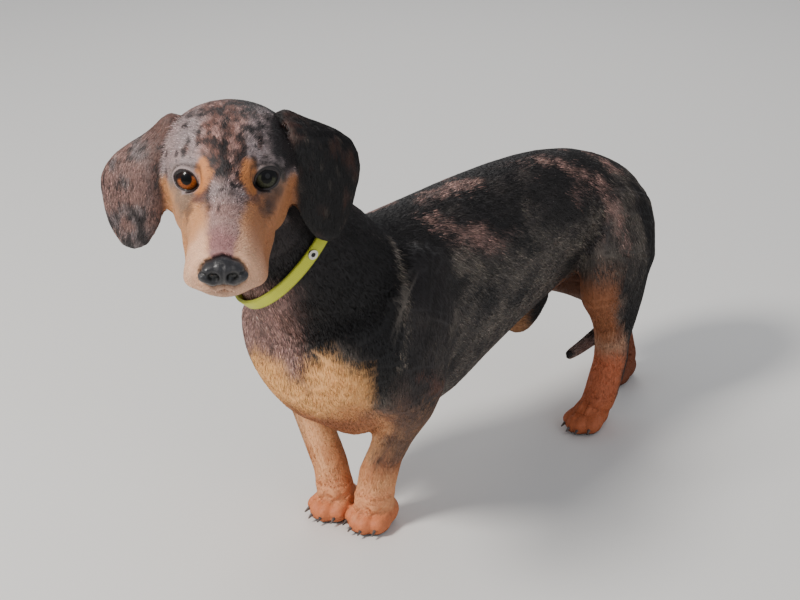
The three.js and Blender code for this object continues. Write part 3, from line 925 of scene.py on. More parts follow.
def refine(bm, place, radius, longest, rounds=2):
    """Halves the edges round a place until they are short."""
    centre = Vector(to_model(np.array(place, float)))
    limit = (radius / 1000) ** 2
    for _ in range(rounds):
        edges = [
            edge
            for edge in bm.edges
            if (edge.verts[0].co - centre).length_squared < limit and edge.calc_length() > longest / 1000
        ]
        if edges:
            bmesh.ops.subdivide_edges(bm, edges=edges, cuts=1)
            bmesh.ops.triangulate(bm, faces=[face for face in bm.faces if len(face.verts) > 3])


def write_points(mesh, points):
    """Puts points of the dog's frame into a mesh."""
    mesh.vertices.foreach_set("co", to_model(points).astype(np.float32).ravel())
    mesh.update()


def write_colour(mesh, name, values):
    """Keeps a colour for each point."""
    layer = mesh.attributes.new(name, "FLOAT_COLOR", "POINT")
    full = np.ones((len(values), 4), np.float32)
    full[:, :3] = values
    layer.data.foreach_set("color", full.ravel())


def write_number(mesh, name, values):
    """Keeps a number for each point."""
    mesh.attributes.new(name, "FLOAT", "POINT").data.foreach_set("value", np.asarray(values, np.float32))


def keep_group(made, name, weights):
    """Keeps weights as a vertex group."""
    group = made.vertex_groups.new(name=name)
    for step in np.unique(weights):
        group.add(np.nonzero(weights == step)[0].tolist(), float(step), "REPLACE")


def thinned(mesh, weights, faces):
    """The mesh with fewer triangles where the weights are high."""
    carrier = new_object("thinned", mesh)
    keep_group(carrier, "thin", np.round(weights * 4) / 4)
    modifier = carrier.modifiers.new("thin", "DECIMATE")
    modifier.ratio = faces / max(1, sum(len(face.vertices) - 2 for face in mesh.polygons))
    modifier.vertex_group = "thin"
    modifier.vertex_group_factor = 10
    modifier.use_collapse_triangulate = True
    return applied(carrier)


# how deep the skin lies under the nose leather
NOSE_BED = 4.0
# what the coat needs to know of the skin
SKIN = {}


class DACHSHUND_OT_skin(bpy.types.Operator):
    """Make the one skin of the dog from its solids"""

    bl_idname = "dachshund.skin"
    bl_label = "Skin"

    def execute(self, context):
        settings = context.scene.dachshund_skin
        whole = joined_nodes(FLESH + ["nose", "eye_left", "eye_right"], SKIN_GAP)
        place = Matrix.Translation(Vector(to_model(FOLD_MIDDLE)))
        size = Matrix.Diagonal((*(reach / 1000 for reach in FOLD_REACH), 1))
        bmesh.ops.create_icosphere(whole, subdivisions=4, radius=1, matrix=place @ size)
        mesh = fused(whole, settings.grain)
        surface = Surface.of_mesh(mesh)
        part = dict(zip(PARTS, shares_of_parts(surface, 8).T))
        broad = np.clip(part["torso"] + part["neck"], 0, 1)
        limb = np.clip(part["front_leg"] + part["hind_leg"] + part["tail"], 0, 1)
        ears = part["ear_left"] + part["ear_right"]
        paw = np.clip(part["front_paw"] + part["hind_paw"], 0, 1)
        surface.smooth(broad, 60)
        surface.smooth(np.clip(broad + limb, 0, 1), 24)
        surface.smooth(np.clip(broad + limb + part["head"] + ears * 0.6 + paw * 0.5, 0, 1), 10)
        write_points(mesh, surface.points)
        mesh = thinned(mesh, np.clip(broad + limb, 0, 1), settings.faces)

        bm = bmesh.new()
        bm.from_mesh(mesh)
        bmesh.ops.triangulate(bm, faces=[face for face in bm.faces if len(face.verts) > 3])
        for side in (1, -1):
            refine(bm, eye_centre(side) + eye_axes(side)[2] * EYE_RADIUS, 13, 0.6)
        for paw in PAWS:
            refine(bm, claw_ends(paw)[0].mean(0), 17, 0.9, 1)
        bm.to_mesh(mesh)
        bm.free()

        surface = Surface.of_mesh(mesh)
        points = surface.points
        tree = surface.tree()
        shares = shares_of_parts(surface, 5)
        part = dict(zip(PARTS, shares.T))
        heads = to_head(points)
        lift = lift_mouth(points, tree) + lift_toes(points, tree)
        for place, sizes, height, _ in HEAD_MIDDLE:
            lift += lift_round(heads, place, sizes, height)
        for place, sizes, height, _ in HEAD_PAIRS:
            both = lift_round(heads, place, sizes, height)
            both += lift_round(heads, np.array(place) * MIRRORED, sizes, height)
            lift += both * part["head"]
        for place, sizes, height, _ in BODY_SWELLS:
            lift += lift_round(points, place, sizes, height)
        for line, width, height in BODY_FOLDS:
            lift += lift_along(points, tree, line, width, height)
        small = part["head"] + part["ear_left"] + part["ear_right"] + part["front_paw"] + part["hind_paw"]
        lift -= settings.coat_depth * 1000 * (1 - 0.7 * np.clip(small, 0, 1))
        # the nose leather lies over the skin
        under_nose = ramp(distance_to(surface, ["nose"], 3.0), 1.7, 0.7)
        lift -= NOSE_BED * under_nose
        surface.points = points + surface.normals() * lift[:, None]
        sculpt_lids(surface)
        write_points(mesh, surface.points)
        shade_smooth(mesh)
        made = new_object("skin", mesh)

        margins = np.minimum(*(lid_margin(surface.points, side)[0] for side in (1, -1)))
        lips = -np.minimum(0, lift_mouth(surface.points, surface.tree()))
        bare = np.clip(ramp(margins, 0.8, 0.45) + ramp(lips, 0.6, 1.2), 0, 1)
        colour = lay(markings(surface.points, shares), linear(38, 30, 30), bare)
        # under the nose leather the skin is black like the leather, and where it shows in the nostrils the
        # black is painted shade
        colour = lay(colour, BLACK, under_nose)
        write_colour(mesh, "marking", colour)
        write_number(mesh, "bare", bare)
        mesh.materials.append(skin_material())
        unwrap(made)
        SKIN.update(surface=surface, shares=shares, bare=bare, margins=margins, unwrap=corner_places(mesh))
        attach(made, "root")
        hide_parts(*FLESH)
        return {"FINISHED"}


def unwrap(made):
    """Unwraps the skin into flat pieces of its own shape."""
    made.data.uv_layers.new(name="OFBake")
    bpy.context.view_layer.objects.active = made
    made.select_set(True)
    bpy.ops.object.mode_set(mode="EDIT")
    bpy.ops.mesh.select_all(action="SELECT")
    bpy.ops.uv.smart_project(angle_limit=math.radians(70), island_margin=0.002)
    bpy.ops.object.mode_set(mode="OBJECT")
    made.select_set(False)


def corner_places(mesh):
    """The unwrap's place of each corner of each triangle."""
    places = np.zeros(len(mesh.loops) * 2, np.float32)
    mesh.uv_layers["OFBake"].data.foreach_get("uv", places)
    mesh.calc_loop_triangles()
    corners = np.zeros(len(mesh.loop_triangles) * 3, np.int32)
    mesh.loop_triangles.foreach_get("loops", corners)
    return places.reshape(-1, 2)[corners.reshape(-1, 3)]


# Markings.


def linear(*channels):
    """A colour given as 0 to 255 for the eye, as the renderer counts it."""
    value = np.array(channels) / 255
    return np.where(value < 0.04045, value / 12.92, ((value + 0.055) / 1.055) ** 2.4)


BLACK = linear(15, 12, 14)
SOOT = linear(36, 31, 32)
SLATE = linear(96, 88, 80)
ROSE = linear(134, 104, 96)
SILVER = linear(140, 126, 126)
BARK = linear(98, 64, 54)
HEAD_ROSE = linear(160, 124, 116)
TAN = linear(206, 146, 98)
PEACH = linear(232, 184, 152)
BROW = linear(198, 128, 74)
CHEST = linear(230, 170, 108)
AMBER = linear(182, 112, 70)
RUST = linear(188, 104, 68)
LEG = linear(232, 172, 122)
LID = linear(160, 142, 142)
MAUVE = linear(88, 66, 57)
FOOT = linear(222, 152, 106)
TOES = linear(202, 112, 68)
PAD = linear(42, 33, 33)

# patches of the body: name, colour, line of places, reach, how torn
WHORL = [(22, -106, 193), (39, -116, 181), (53, -124, 166), (59, -128, 150), (60, -136, 131)]
PATCHES = [
    ("shoulder, black", BLACK, [(33, -150, 186), (44, -140, 160), (48, -140, 132)], 22, 0.25),
    ("neck side, black", BLACK, [(34, -160, 200), (40, -130, 196), (20, -118, 204)], 16, 0.3),
    ("whorl, grey", SLATE, WHORL, 2.6, 0.7),
    ("back, rose", ROSE, [(-1, -49, 196), (2, -30, 198), (6, -15, 198)], 7, 0.9),
    ("upper side, rose", ROSE, [(18, -67, 191), (28, -57, 185), (36, -42, 178), (41, -29, 171)], 6.5, 0.9),
    ("side, grey", SLATE, [(43, -66, 168), (45, -52, 160)], 9, 0.9),
    ("side, black", BLACK, [(50, -51, 148), (51, -42, 142)], 10, 0.5),
    ("side, black", BLACK, [(62, -119, 144)], 6.5, 0.35),
    ("side, black", BLACK, [(60, -78, 128), (58, -66, 122)], 6, 0.5),
    ("side, black", BLACK, [(40, -30, 190), (46, -10, 176), (48, 4, 160)], 9, 0.7),
    ("side, black", BLACK, [(50, -20, 132), (46, 0, 128)], 6, 0.7),
    ("loin, rose", ROSE, [(8, 56, 199), (19, 69, 193), (27, 76, 186)], 6, 0.9),
    ("haunch, rose", ROSE, [(31, 89, 179), (39, 93, 167), (47, 95, 155), (53, 95, 139)], 5, 0.8),
    ("haunch, rose", ROSE, [(12, 110, 190), (22, 116, 184)], 6, 0.9),
    ("rump, black", BLACK, [(46, 125, 154), (48, 130, 130), (50, 120, 108)], 10, 0.4),
    ("right side, rose", ROSE, [(-22, -70, 190), (-38, -50, 176), (-44, -30, 166)], 8, 0.8),
    ("right side, black", BLACK, [(-48, -20, 156), (-46, 6, 148)], 11, 0.6),
    ("right side, grey", SLATE, [(-54, -70, 150), (-52, -50, 138)], 12, 0.8),
    ("right haunch, rose", ROSE, [(-26, 70, 188), (-40, 84, 168), (-48, 92, 148)], 7, 0.8),
    ("right shoulder, black", BLACK, [(-36, -150, 180), (-48, -136, 152)], 20, 0.3),
]


def blot(points, place, sizes, torn=0.3, seed=0, soft=0.2):
    """1 inside an egg with a torn edge."""
    sizes = np.asarray(sizes, float)
    reach = np.linalg.norm((points - place) / sizes, axis=1)
    edge = torn * cloud(points, sizes.mean() * 0.7, 40 + seed, 3)
    return ramp(reach + edge, 1 + soft, 1 - soft)


def streak(points, line, reach, torn=0.4, seed=0, soft=0.2):
    """1 along a line with a torn edge."""
    distance, _ = from_line(points, line)
    edge = torn * cloud(points, reach * 0.8, 70 + seed, 3)
    return ramp(distance / reach + edge, 1 + soft, 1 - soft)


def lay(colour, paint, mask):
    """Lays one colour over another."""
    return colour + (paint - colour) * mask[:, None]


def body_markings(points):
    """The dappled body, black along the back, tan below."""
    x, y, z = points.T
    side = np.where(x > -4, 1, -1)
    broad = cloud(points, 26, 3, 2)
    middle = cloud(points, 9, 11, 2)
    fleck = noise(points * (1, 0.55, 1), 2.6, 17)
    grey = ramp(middle * 0.7 + fleck * 0.8 + 0.1, -0.7, 0.9)
    colour = SOOT + (SLATE - SOOT) * grey[:, None]
    # black gathers along the back and in large islands
    high = ramp(z, 140, 185)
    dark = ramp(broad + 0.6 * middle + 0.3 * fleck + 1.0 * high - 0.4, -0.05, 0.35)
    colour = lay(colour, BLACK, dark * 0.94)
    rosy = ramp(cloud(points, 15, 23, 2) + 0.5 * fleck, 0.75, 1.15) * ramp(z, 130, 165) * ramp(y, -90, -50)
    colour = lay(colour, ROSE, rosy * 0.8)
    for seed, (_, paint, line, reach, torn) in enumerate(PATCHES):
        mask = streak(points, np.array(line, float), reach, torn, seed)
        grain = ramp(fleck + 0.6 * middle, -0.9, 0.5) if paint is ROSE else 1.0
        colour = lay(colour, paint, mask * grain)
    # belly and the inside of the thighs
    belly = ramp(z, 104, 88) * ramp(np.abs(x), 34, 16) * ramp(y, -150, -120)
    colour = lay(colour, TAN * 0.45, belly * 0.75)
    colour = lay(colour, BLACK, blot(points, (0, 70, 88), (13, 22, 16), 0.2, 1))
    colour = lay(colour, TAN * 0.5, blot(points, (0, 38, 84), (8, 12, 9), 0.3, 2))
    fold = streak(points, [(18, 54, 110), (27, 66, 111), (34, 76, 109)], 7, 0.4, 17, 0.5)
    colour = lay(colour, AMBER * 0.6, fold * 0.8)
    return colour


def chest_markings(points):
    """Two tan patches on the breast, rosy grey above the right one, dark above the left one."""
    colour = body_markings(points)
    x, y, z = points.T
    fleck = noise(points * (1, 1, 0.5), 2.4, 31)
    middle = cloud(points, 8, 33, 2)
    # the foot of the throat, below the collar
    throat = ramp(x + 4 * middle, 24, 8) * ramp(y, -118, -140) * ramp(z, 112, 128)
    colour = lay(colour, HEAD_ROSE * 0.8, throat * 0.95)
    colour = lay(colour, SOOT, throat * ramp(fleck * 0.8 + middle * 0.5, 0.2, 0.9) * 0.7)
    furrow = streak(points, [(12, -184, 158), (15, -178, 140), (17, -174, 126)], 7, 0.3, 5, 0.4)
    colour = lay(colour, BARK * 0.7, furrow * 0.85)
    left = blot(points, (34, -162, 114), (18, 20, 27), 0.2, 3)
    right = blot(points, (-16, -168, 106), (23, 26, 22), 0.2, 4, 0.35)
    low = blot(points, (14, -170, 102), (14, 16, 15), 0.2, 18, 0.3)
    colour = lay(colour, CHEST, np.clip(left + right + low, 0, 1) * ramp(y, -114, -130))
    parting = streak(points, [(16, -176, 138), (17, -176, 126), (17, -172, 114)], 3.6, 0.4, 15, 0.7)
    colour = lay(colour, BARK, parting * 0.75)
    # the lower chest is painted a deeper amber, darker towards the bottom: painted shade under the chest
    colour = lay(colour, AMBER, blot(points, (40, -158, 98), (14, 16, 10), 0.4, 19, 0.6) * 0.5)
    brisket_shade = ramp(z + 3 * middle, 102, 89) * ramp(y, -104, -118)
    colour = lay(colour, AMBER * 0.8, brisket_shade * 0.9)
    patch = blot(points, (27, -167, 150), (13, 12, 10), 0.35, 7)
    return lay(colour, BLACK, patch * ramp(fleck, -0.9, 0.1) * 0.95)


# the middle of a leg: rows of height, x and y, from the top down
FORELEG = [(124, 45, -114), (101, 44, -110), (76, 35, -109), (52, 25, -112), (33, 16, -114), (14, 14, -114)]
LEFT_HIND = [(160, 28, 119), (134, 36, 109), (109, 40, 104), (90, 40, 106)]
LEFT_HIND += [(60, 38, 106), (33, 36, 103), (14, 35, 96)]
RIGHT_HIND = [(160, -28, 120), (134, -35, 114), (112, -35, 112), (94, -29, 130)]
RIGHT_HIND += [(76, -18, 154), (50, -5, 167), (14, 2, 173)]


def leg_middle(z, rows):
    """The middle of a leg at each height."""
    rows = np.array(rows)[::-1]
    return np.interp(z, rows[:, 0], rows[:, 1]), np.interp(z, rows[:, 0], rows[:, 2])


def front_leg_markings(points):
    """Dark outside to the elbow, mauve down the outside of the forearm, peach in front and on the foot."""
    colour = chest_markings(points)
    x, y, z = points.T
    fleck = cloud(points, 6, 51, 3)
    fine = noise(points * (1, 1, 0.4), 1.8, 54)
    middle_x, middle_y = leg_middle(z, FORELEG)
    outer = (np.abs(x) - middle_x) * 0.8 + (y - middle_y) * 0.55
    inside = ramp(outer + 2 * fleck, -6, -11) * ramp(z, 128, 112) * ramp(np.abs(x), 46, 38)
    tan = np.maximum(ramp(z + 4 * fleck, 97, 84), inside)
    colour = lay(colour, LEG, tan)
    mauve = ramp(outer + 2.5 * fleck, -8.5, -3.5) * np.where(x > 0, 0.95, 0.4)
    mauve = mauve * ramp(z + 3 * fleck, 37, 47) * ramp(z + 4 * fleck, 118, 104)
    colour = lay(colour, MAUVE + (LEG * 0.45 - MAUVE) * ramp(fine, 0.0, 1.0)[:, None], mauve)
    dark = ramp(outer + 2 * fleck, 0, 5) * ramp(z + 5 * fleck, 84, 98)
    colour = lay(colour, SOOT, dark * ramp(fine, 0.9, -0.5) * 0.9)
    colour = lay(colour, LEG * 0.7, blot(points, (31, -119, 62), (5, 7, 5), 0.5, 8, 0.6) * 0.5)
    # amber shadows round the wrist, then the pale foot and redder toes
    colour = lay(colour, AMBER, ramp(np.abs(z + 3 * fleck - 42), 11, 3) * 0.7)
    colour = lay(colour, FOOT, ramp(z + 3 * fleck, 35, 28))
    colour = lay(colour, TOES, ramp(z + 2 * fleck, 17, 9) * 0.8)
    rim = streak(points, [(65, -124, 122), (66, -114, 116), (64, -103, 104)], 3.2, 0.3, 9, 0.4)
    return lay(colour, BARK * 1.2, rim * 0.5)


def hind_leg_markings(points):
    """Tan inside and in front, dark outside and behind, rust below the hock; the right leg is darkened all
    over as painted shade.
    """
    colour = body_markings(points)
    x, y, z = points.T
    fleck = cloud(points, 7, 61, 3)
    # the right foot stands behind the left one, near the middle
    left = (x > 10) & ((y < 140) | (z > 60))
    left_x, left_y = leg_middle(z, LEFT_HIND)
    right_x, right_y = leg_middle(z, RIGHT_HIND)
    back = np.where(left, y - left_y, y - right_y)
    out = np.where(left, x - left_x, right_x - x)
    edge = np.interp(z, [30, 62, 84, 120], [9, 5, -10, -14])
    turned = back + 0.35 * out + 3 * fleck - edge
    tan = ramp(turned, 3, -4) * ramp(z + 3 * fleck, 122, 108)
    inside = ramp(out, -5, -10) * ramp(z, 132, 112)
    tan = np.maximum(tan, inside)
    colour = lay(colour, AMBER * 0.62, tan)
    shank = ramp(np.abs(z - 80 + 4 * fleck), 24, 8) * ramp(back + 0.5 * out, -9, -1)
    colour = lay(colour, BARK * 0.8, tan * shank * 0.8)
    colour = lay(colour, BLACK, ramp(turned, 2, 9) * ramp(z, 28, 36) * ramp(z, 120, 104) * 0.9)
    colour = lay(colour, PEACH * 0.7, tan * ramp(np.abs(z - 63 + 2 * fleck), 6, 1) * 0.6)
    colour = lay(colour, RUST, tan * ramp(z + 3 * fleck, 60, 52))
    colour = lay(colour, TOES * 0.85, ramp(z, 26, 14) * 0.7)
    # the right hind leg, in the body's shadow, is painted darker all over: painted shade
    return colour * np.where(left, 1, 0.4)[:, None]


def tail_markings(points):
    """Black above, greyish rose with dark flecks towards the tip."""
    colour = body_markings(points)
    y, z = points[:, 1], points[:, 2]
    tip = ramp(y, 140, 122) * ramp(z, 80, 70)
    pale = linear(150, 128, 120)
    rose = pale + (SOOT - pale) * ramp(cloud(points, 5, 81, 2) + ramp(y, 100, 92), 0.0, 0.6)[:, None]
    return lay(colour * 0.6 + BLACK * 0.4, rose, tip)


# dark blots on the skull: colour, place, half sizes, seed, where the flecks break it, strength
SKULL_BLOTS = [
    (SOOT, (-14, 34, 28), (8, 9, 6), 23, -0.9, 0.9),
    (SOOT, (11, 32, 30), (7, 10, 6), 24, -0.9, 1.0),
    (BLACK, (15, 12, 24), (5, 7, 5), 29, -0.8, 0.9),
]
# where the tan of the cheek ends: inwards and upwards at places from front to back
CHEEK_INNER = ([-75, -55, -38, -22, -8, 8], [6.5, 7.5, 8.0, 10.5, 17, 24])
CHEEK_TOP = ([-75, -50, -30, -14, 0, 14, 30], [-16, -8, -4, -4, -3, -2, -8])


def head_markings(points):
    """Silver forehead, tan brows and cheeks, dark smudges below the eyes."""
    place = to_head(points)
    x, y, z = place.T
    lain = place * (1, 0.5, 0.6)
    fleck = noise(lain, 1.5, 101)
    small = noise(lain, 2.9, 102)
    middle = cloud(place, 7, 103, 2)
    broad = cloud(place, 17, 104, 2)
    # the skull: silver to the sides, rosy brown with dark flecks in the middle
    centre = ramp(np.abs(x + 1 + 2 * middle), 15, 6) * ramp(y, -22, -8)
    colour = SILVER + (HEAD_ROSE - SILVER) * np.clip(centre * 0.9 + 0.3 * broad + 0.15, 0, 1)[:, None]
    colour = lay(colour, BARK, ramp(small + 0.5 * middle + centre * 0.9, 0.25, 0.85) * 0.85)
    ticked = ramp(fleck * 0.9 + small * 0.6 + 0.4 * middle + 0.3 * centre, 0.2, 0.7)
    colour = lay(colour, SOOT, ticked * 0.9)
    # dark down the middle between the brows
    frown = [(-1, 16, 27), (-1, 6, 22), (0, -4, 15), (-1, -12, 9)]
    colour = lay(colour, BLACK, streak(place, frown, 3.0, 0.9, 21, 0.35) * ramp(fleck, -0.9, 0.2) * 0.95)
    colour = lay(colour, SOOT, streak(place, [(5, -2, 16), (5, -9, 11)], 1.6, 0.9, 28, 0.5) * 0.8)
    colour = lay(colour, SOOT * 1.5, streak(place, [(1, -24, 1), (1, -40, -5)], 3.2, 1.1, 22, 0.6) * 0.6)
    # black towards the left ear, and dark blots on the skull
    left_dark = ramp(x + 4 * broad + 3.5 * small, 15, 24) * ramp(z, -4, 4)
    colour = lay(colour, BLACK, left_dark * 0.95)
    for paint, spot, sizes, seed, low, strength in SKULL_BLOTS:
        torn = blot(place, spot, sizes, 0.9, seed, 0.4) * ramp(fleck, low, 0.3)
        colour = lay(colour, paint, torn * strength)
    # top of the muzzle
    bridge = ramp(y, -18, -34) * ramp(np.abs(x), 15, 9)
    colour = lay(colour, HEAD_ROSE, bridge * 0.7)
    silver = blot(place, (-2, -26, 1), (8, 10, 7), 0.6, 26, 0.5) * ramp(fleck, 0.9, -0.2)
    colour = lay(colour, SILVER, silver * 0.4)
    colour = lay(colour, BARK, bridge * ramp(small * 0.8 + middle * 0.6, 0.0, 0.9) * 0.6)
    upper = ramp(np.abs(x), 13, 7) * ramp(y, 0, -8) * ramp(y, -50, -38)
    colour = lay(colour, SOOT * 1.3, upper * ramp(fleck * 0.7 + small * 0.6 + middle * 0.3, 0.0, 0.7) * 0.8)
    colour = lay(colour, linear(142, 98, 98), blot(place, (0, -61, -13), (9, 11, 9), 0.4, 25, 0.6) * 0.8)
    # tan cheeks and sides of the muzzle
    cheek = ramp(np.abs(x) - np.interp(y, *CHEEK_INNER) + 1.4 * middle + fleck, -2.6, 2.4)
    cheek = cheek * ramp(z - np.interp(y, *CHEEK_TOP) + 1.3 * middle + fleck, 3.5, -3.0)
    cheek = cheek * ramp(y + 3 * middle, 34, 22)
    colour = lay(colour, TAN, cheek * 0.95)
    colour = lay(colour, PEACH, cheek * ramp(y + 3 * middle, -36, -58) * 0.85)
    colour = lay(colour, PEACH * 0.8, ramp(y, -58, -66) * ramp(z, -24, -30) * 0.85)
    # the left side of the muzzle is painted a darker amber: painted shade on the side turned from the light
    colour = lay(colour, AMBER * 0.75, cheek * ramp(x, 5, 16) * ramp(y, -70, -48) * 0.6)
    # dark behind the jaw and under the chin
    jaw = ramp(y + 4 * middle, 22, 34) * ramp(z, 4, -6)
    jaw = np.maximum(jaw, ramp(z + 2 * middle, -33, -39) * ramp(y, -22, -6))
    colour = lay(colour, np.where((x > -8)[:, None], BLACK, HEAD_ROSE * 0.6), jaw * 0.92)
    colour = lay(colour, TAN * 0.6, ramp(z, -39, -44) * ramp(y, -10, -24) * 0.8)
    # dark below the nose, where the lips part
    colour = lay(colour, BARK, streak(place, [(0, -70, -27), (0, -70, -33)], 1.3, 0.3, 52, 0.6) * 0.7)
    # grey round the eyes, smudges below them, and the brow spots
    for side in (1, -1):
        ring = blot(place, (side * 20.5, 1, 0), (11, 12, 8.5), 0.2, 41 + side, 0.25)
        colour = lay(colour, SLATE * (1.15 if side < 0 else 0.7), ring * 0.6)
        below_eye = blot(place, (side * 20, -8, -8), (8, 10, 6.5), 0.4, 27 + side, 0.6)
        colour = lay(colour, SLATE if side < 0 else SOOT * 1.6, below_eye * 0.75)
        smudge = blot(place, (side * 17.5, -17, -11), (5, 6, 4.5), 0.6, 60 + side, 0.6)
        colour = lay(colour, SOOT * 1.6, smudge * 0.6)
        corner = blot(place, (side * 11, -14, -3), (4.2, 6, 6.5), 0.5, 30 + side, 0.4)
        colour = lay(colour, BARK, corner * 0.75)
        below_brow = blot(place, (side * 12.5, -13, -3), (4.0, 8, 9), 0.4, 50 + side, 0.5)
        colour = lay(colour, BARK * 1.3, below_brow * 0.6)
        brow = blot(place, (side * 11.9, -9, 4.5), (4.7, 9, 10), 0.3, 33 + side, 0.3)
        colour = lay(colour, BROW, brow * ramp(fleck, 1.6, 0.4) * 0.96)
        above = [(side * 15, 0, 11), (side * 22, 2, 10), (side * 28, 8, 6)]
        rim = streak(place, above, 2.2, 0.5, 36 + side, 0.5)
        colour = lay(colour, SILVER, rim * (0.7 if side < 0 else 0.45))
    nape = ramp(y + 4 * middle, 36, 56)
    return lay(colour, neck_markings(points), nape)


def ear_markings(points, side):
    """The right ear is greyish rose with dark flecks, the left ear almost black."""
    place = to_head(points)
    lain = place * (0.8, 1, 0.5)
    fleck = noise(lain, 1.7, 121)
    small = noise(lain, 2.7, 122)
    middle = cloud(place, 8, 123, 2)
    if side > 0:
        colour = BLACK + (BARK * 0.4 - BLACK) * ramp(small * 0.6 + middle * 0.6, -0.1, 1.0)[:, None]
        return lay(colour, SLATE * 0.5, ramp(fleck + small, 0.5, 1.3) * 0.6)
    low = ramp(place[:, 2], -10, -32)
    rosy, grey = HEAD_ROSE * 0.5, SILVER * 0.5
    colour = rosy + (grey - rosy) * ramp(middle + 0.4 * low, -0.2, 0.7)[:, None]
    colour = lay(colour, BARK * 0.8, ramp(place[:, 0] + 3 * middle, -46, -36) * 0.75)
    ticked = ramp(small * 0.8 + fleck * 0.7 + middle * 0.2 + low * 0.35, 0.35, 0.75)
    colour = lay(colour, SOOT, ticked * 0.9)
    colour = lay(colour, SOOT, ramp(fleck, 0.4, 0.75) * 0.6)
    return lay(colour, BLACK, blot(place, (-76, 34, -6), (4, 14, 5), 0.5, 45, 0.4) * 0.9)


def neck_markings(points):
    """Dark sides and nape; below the collar as the chest."""
    place = to_head(points)
    fleck = noise(points * (1, 1, 0.5), 2.4, 131) + 0.5 * cloud(points, 8, 132, 2)
    colour = BLACK + (SOOT - BLACK) * ramp(fleck, -0.3, 0.9)[:, None]
    pale = HEAD_ROSE * 0.62 + (SOOT - HEAD_ROSE * 0.62) * ramp(fleck, 0.1, 0.9)[:, None]
    colour = lay(colour, pale, ramp(place[:, 0], 6, -12))
    below = ramp(points[:, 2] - 0.25 * points[:, 1], 236, 224)
    return lay(colour, chest_markings(points), below)


PAINTERS = {
    "head": head_markings,
    "ear_left": lambda points: ear_markings(points, 1),
    "ear_right": lambda points: ear_markings(points, -1),
    "neck": neck_markings,
    "torso": chest_markings,
    "front_leg": front_leg_markings,
    "front_paw": front_leg_markings,
    "hind_leg": hind_leg_markings,
    "hind_paw": hind_leg_markings,
    "tail": tail_markings,
}


def markings(points, shares):
    """Colour of the coat at each point, from the parts it belongs to."""
    colour = np.zeros((len(points), 3))
    for name, share in zip(PARTS, shares.T):
        mine = share > 0.01
        if mine.any():
            colour[mine] += share[mine, None] * PAINTERS[name](points[mine])
    colour /= np.maximum(np.where(shares > 0.01, shares, 0).sum(1), 1e-6)[:, None]
    colour = paint_lids(colour, points)
    colour = lay(colour, PAD, ramp(points[:, 2], 2.6, 1.2))
    return np.clip(colour, 0.004, 0.9)


# Coat.

# for each part: tufts on a square millimetre, length, width and how far the tip stands up
TUFTS = {
    "head": (3.0, 3.2, 0.46, 0.16),
    "ear_left": (2.6, 4.0, 0.50, 0.12),
    "ear_right": (2.6, 4.0, 0.50, 0.12),
    "neck": (1.6, 6.0, 0.70, 0.24),
    "torso": (1.3, 6.5, 0.74, 0.24),
    "front_leg": (2.0, 3.8, 0.44, 0.10),
    "front_paw": (2.4, 2.6, 0.44, 0.10),
    "hind_leg": (1.8, 4.4, 0.50, 0.12),
    "hind_paw": (2.4, 2.6, 0.44, 0.10),
    "tail": (2.0, 5.0, 0.55, 0.35),
}
SLOTS = {
    "head": "coat_head",
    "ear_left": "coat_dark",
    "ear_right": "coat_head",
    "neck": "coat_grey",
    "torso": "coat_dark",
    "front_leg": "coat_tan",
    "front_paw": "coat_tan",
    "hind_leg": "coat_grey",
    "hind_paw": "coat_tan",
    "tail": "coat_grey",
}
MOST_TUFTS = 48000
# how deep a tuft's root is sunk, and where along it the ridge stands
ROOT_DEPTH = 0.25
RIDGE_AT = 0.32
# width of a tuft's place on the unwrap
PATCH = 0.003
# the middle of the tail, from its root to its tip
TAIL_LINE = [(0, 148, 158), (0, 160, 148), (2, 170, 128), (8, 168, 102)]
TAIL_LINE += [(14, 153, 76), (14, 138, 58), (12, 116, 49), (12, 93, 46)]


def lie_of_coat(surface, shares):
    """The way the hair lies at each point, along the skin."""
    points, normals = surface.points, surface.normals()
    x, y, z = points.T
    one = np.ones(len(points))
    hx, _, hz = to_head(points).T
    low = ramp(hz, 0, -20)
    over_head = np.stack([0.25 * hx / 20, one, -0.25 - 0.55 * low - 0.2 * np.abs(hx) / 25], 1) @ HEAD_AXES.T
    down_ear = np.stack([0.1 * np.sign(hx), -0.1 * one, -one], 1) @ HEAD_AXES.T
    on_chest = ramp(y, -128, -150)
    torso = np.stack([0.25 * x / 45, one * (1 - on_chest), -0.25 - 0.45 * np.abs(x) / 50 - on_chest], 1)
    haunch = ramp(y, 70, 110)
    torso += haunch[:, None] * np.stack([0 * one, -0.3 * one, -0.8 * one], 1)
    neck = np.stack([0 * one, 0.55 * one, -0.8 * one], 1)
    leg = np.stack([0 * one, 0.15 * one, -one], 1)
    paw = np.stack([0 * one, -one, -0.55 * one], 1)
    tail_points = np.array(TAIL_LINE, float)
    _, share = from_line(points, tail_points)
    index = np.clip((share * (len(tail_points) - 1)).astype(int), 0, len(tail_points) - 2)
    tail = np.diff(tail_points, axis=0)[index]
    ways = {
        "head": over_head,
        "ear_left": down_ear,
        "ear_right": down_ear,
        "neck": neck,
        "torso": torso,
        "front_leg": leg,
        "front_paw": paw,
        "hind_leg": leg,
        "hind_paw": paw,
        "tail": tail,
    }
    lie = sum(shares[:, [i]] * unit(ways[name]) for i, name in enumerate(PARTS))
    # the hair eddies a little everywhere
    for seed, axis in enumerate(np.eye(3)):
        lie += 0.22 * noise(points, 24, 200 + seed)[:, None] * axis
    lie = lie - normals * (lie * normals).sum(1)[:, None]
    lie = unit(surface.soften(lie, 6))
    lie = unit(lie - normals * (lie * normals).sum(1)[:, None])
    return lie, normals


